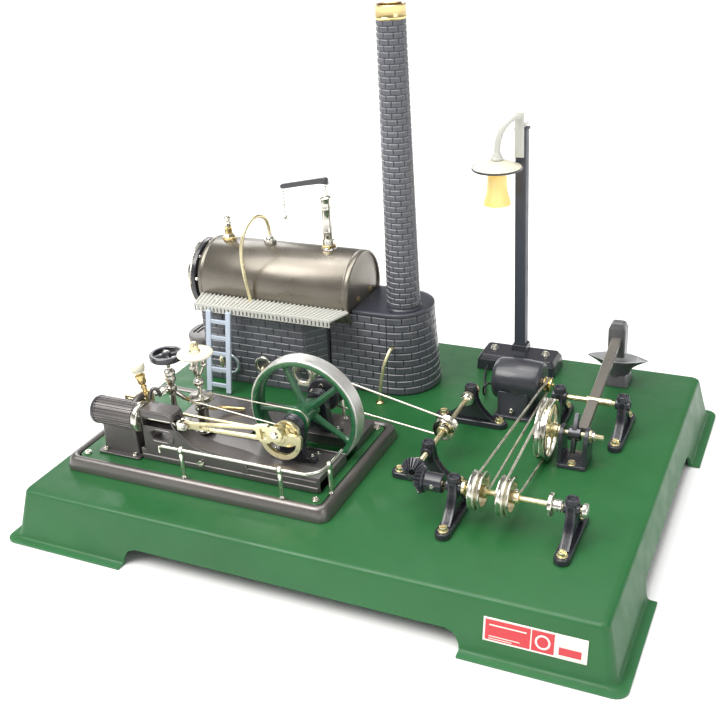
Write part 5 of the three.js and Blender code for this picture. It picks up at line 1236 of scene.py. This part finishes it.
hp_.lathe("x", HC, [(20.2, m_ - 4.2), (22.6, m_ - 4.5), (23.3, m_ - 4.1), (23.4, m_ - 3.0), (22.9, m_ - 2.5), (21.6, m_ - 1.2), (21.4, m_), (21.6, m_ + 1.2), (22.9, m_ + 2.5), (23.4, m_ + 3.0), (23.3, m_ + 4.1), (22.6, m_ + 4.5), (20.2, m_ + 4.2), (19.6, m_ + 2.6), (19.6, m_ - 2.6)], 120, closed=True)
hp_.done("hammer_pulley_rim", "cam_body")
hq = B("gold")
hq.lathe("x", HC, [(2, m_ - 4.8), (5.6, m_ - 4.8), (6, m_ - 4.3), (6, m_ + 3.4), (5.0, m_ + 4), (5.0, 144.2), (2, 144.6)], 40, closed=True)
for i in range(5):
    a = i * 2 * PI / 5 + 0.2
    old = hq.m
    hq.m = Matrix.Translation((m_, 3, 64.5)) @ Matrix.Rotation(a, 4, "X")
    hq.loft([[(x_, y_, z_) for x_, y_ in rrect(-1.3, 1.3, -w_, w_, 0.8, 3)] for z_, w_ in ((4.5, 2.6), (8, 2.1), (16, 1.9), (20.2, 2.8))])
    hq.m = old
hq.done("hammer_pulley_spokes", "cam_body")
# arm with pivot, head
ha = B("arm")
T = math.radians(13)
ha.m = Matrix.Translation((158.5, 54.5, 66)) @ Matrix.Rotation(T, 4, "X")
ha.loft([[(x_, -35, z_) for x_, z_ in rrect(-4, 4, -2.5, 2.5, 0.8, 3)], [(x_, 79.5, z_) for x_, z_ in rrect(-4, 4, -2.5, 2.5, 0.8, 3)]])
ha.done("hammer_arm_bar", "hammer_body", rep="hammer_arm", bevel=0.2)
hpv = B("gold")
hpv.lathe("x", (0, 54.5, 66), [(0, 127.4), (1.7, 127.4), (2, 127.8), (2, 185.2), (1.7, 185.6), (0, 185.6)], 32)
hpv.lathe("x", (0, 54.5, 66), [(2, 152.8), (3.0, 152.8), (3.0, 172), (2, 172)], 36, closed=True)
hpv.done("hammer_pivot_shaft", "hammer_body")
hh = B("head")
hh.loft([rz(152.2, 164.8, 131.4, 142.2, 1.0, 67.5, 3), rz(151.3, 165.7, 130.4, 143, 1.2, 68.8, 3), rz(151.3, 165.7, 130.4, 143, 1.2, 92.4, 3), rz(153.0, 164.0, 132, 141.6, 1.2, 97.2, 3), rz(154.4, 162.6, 133.4, 140.2, 1.2, 98.3, 3)])
hh.done("hammer_head", "hammer_body", bevel=0.4)
# anvil
an = B("head")
def plan(z, k, e):
    pts = []
    for i in range(24):
        u = -1 + 2 * i / 24
        pts.append((158 + 25.4 * u * k, 142 - 10.6 * e * cos(u * 1.5), z))
    for i in range(24):
        u = 1 - 2 * i / 24
        pts.append((158 + 25.4 * u * k, 142 + 10.6 * e * cos(u * 1.5), z))
    return pts
an.loft([plan(48.2, 0.40, 0.86), plan(50.2, 0.42, 0.86), plan(54.5, 0.50, 0.9), plan(58.2, 0.70, 0.95), plan(61.2, 0.93, 1.0), plan(62.2, 1.0, 1.0), plan(62.7, 0.995, 0.99)])
an.taper((150.5, 169.5, 131, 155), 40.3, (151.2, 168.8, 131.8, 154.2), 43.4, r=1.5, n=3)
an.taper((151.2, 168.8, 131.8, 154.2), 43.4, (153.4, 166.6, 134, 151), 49.4, r=1.5, n=3)
an.done("anvil_body", rep="anvil", bevel=0.4)
at = B("anvil_top")
at.loft([plan(62.6, 0.985, 0.98), plan(63.0, 0.985, 0.98), plan(63.15, 0.97, 0.965)])
at.done("anvil_face")
# ------------------------------------------------------------------ floor, lights, world
bm2 = bmesh.new()
bmesh.ops.create_grid(bm2, x_segments=1, y_segments=1, size=6)
me = bpy.data.meshes.new("floor"); bm2.to_mesh(me); bm2.free()
floor = bpy.data.objects.new("floor", me)
bpy.context.scene.collection.objects.link(floor)
floor.location.z = -0.0004
mt, nt, b = new_mat("floor_pale")
n = noise(nt, 3, 2)
nt.links.new(ramp(nt, n.outputs["Fac"], [(0.3, (0.93, 0.93, 0.93)), (0.7, (0.96, 0.96, 0.96))]), b.inputs["Base Color"])
b.inputs["Roughness"].default_value = 0.9
b.inputs["Specular IOR Level"].default_value = 0.1
me.materials.append(mt)


def area(name, pos, target, size, power, color=(1, 1, 1), size_y=None):
    l = bpy.data.lights.new(name, "AREA")
    l.shape = "RECTANGLE"
    l.size, l.size_y = size, size_y or size
    l.energy = power
    l.color = color
    o = bpy.data.objects.new(name, l)
    bpy.context.scene.collection.objects.link(o)
    o.location = pos
    o.rotation_mode = "QUATERNION"
    o.rotation_quaternion = (Vector(target) - Vector(pos)).to_track_quat("-Z", "Y")
    return o


area("key", (-0.9, -1.1, 1.6), (0, 0, 0.08), 0.9, 12, (1, 0.985, 0.955))
area("fill", (1.6, -0.9, 0.9), (0, 0, 0.08), 0.8, 5, (0.97, 0.98, 1))
area("top", (0.0, 0.3, 1.8), (0, 0, 0), 0.8, 9)
area("rim", (-1.2, 1.3, 0.9), (0, 0, 0.12), 0.8, 6)
sun = bpy.data.lights.new("soft_sun", "SUN")
sun.energy = 2.3
sun.angle = math.radians(50)
sun.color = (1, 0.985, 0.96)
so = bpy.data.objects.new("soft_sun", sun)
bpy.context.scene.collection.objects.link(so)
so.rotation_mode = "QUATERNION"
so.rotation_quaternion = Vector((0.45, 0.55, -1.3)).to_track_quat("-Z", "Y")
w = bpy.data.worlds.new("studio")
bpy.context.scene.world = w
w.use_nodes = True
wn = w.node_tree
tc = wn.nodes.new("ShaderNodeTexCoord")
sx = wn.nodes.new("ShaderNodeSeparateXYZ")
mr = wn.nodes.new("ShaderNodeMapRange")
mr.inputs["From Min"].default_value, mr.inputs["From Max"].default_value = -1, 1
wn.links.new(tc.outputs["Generated"], sx.inputs[0])
wn.links.new(sx.outputs["Z"], mr.inputs["Value"])
wr = wn.nodes.new("ShaderNodeValToRGB")
el_ = wr.color_ramp.elements
stops_ = [(0.0, 1.0), (0.56, 1.0), (0.64, 0.30), (0.84, 0.24), (0.93, 0.9)]
while len(el_) < len(stops_):
    el_.new(0.5)
for e_, (p_, v_) in zip(el_, stops_):
    e_.position = p_
    e_.color = (v_, v_, v_ * 0.99, 1)
wn.links.new(mr.outputs["Result"], wr.inputs["Fac"])
wn.links.new(wr.outputs["Color"], wn.nodes["Background"].inputs["Color"])
wn.nodes["Background"].inputs["Strength"].default_value = 1.0
bpy.context.scene.view_settings.view_transform = "Standard"
bpy.context.scene.view_settings.look = "None"
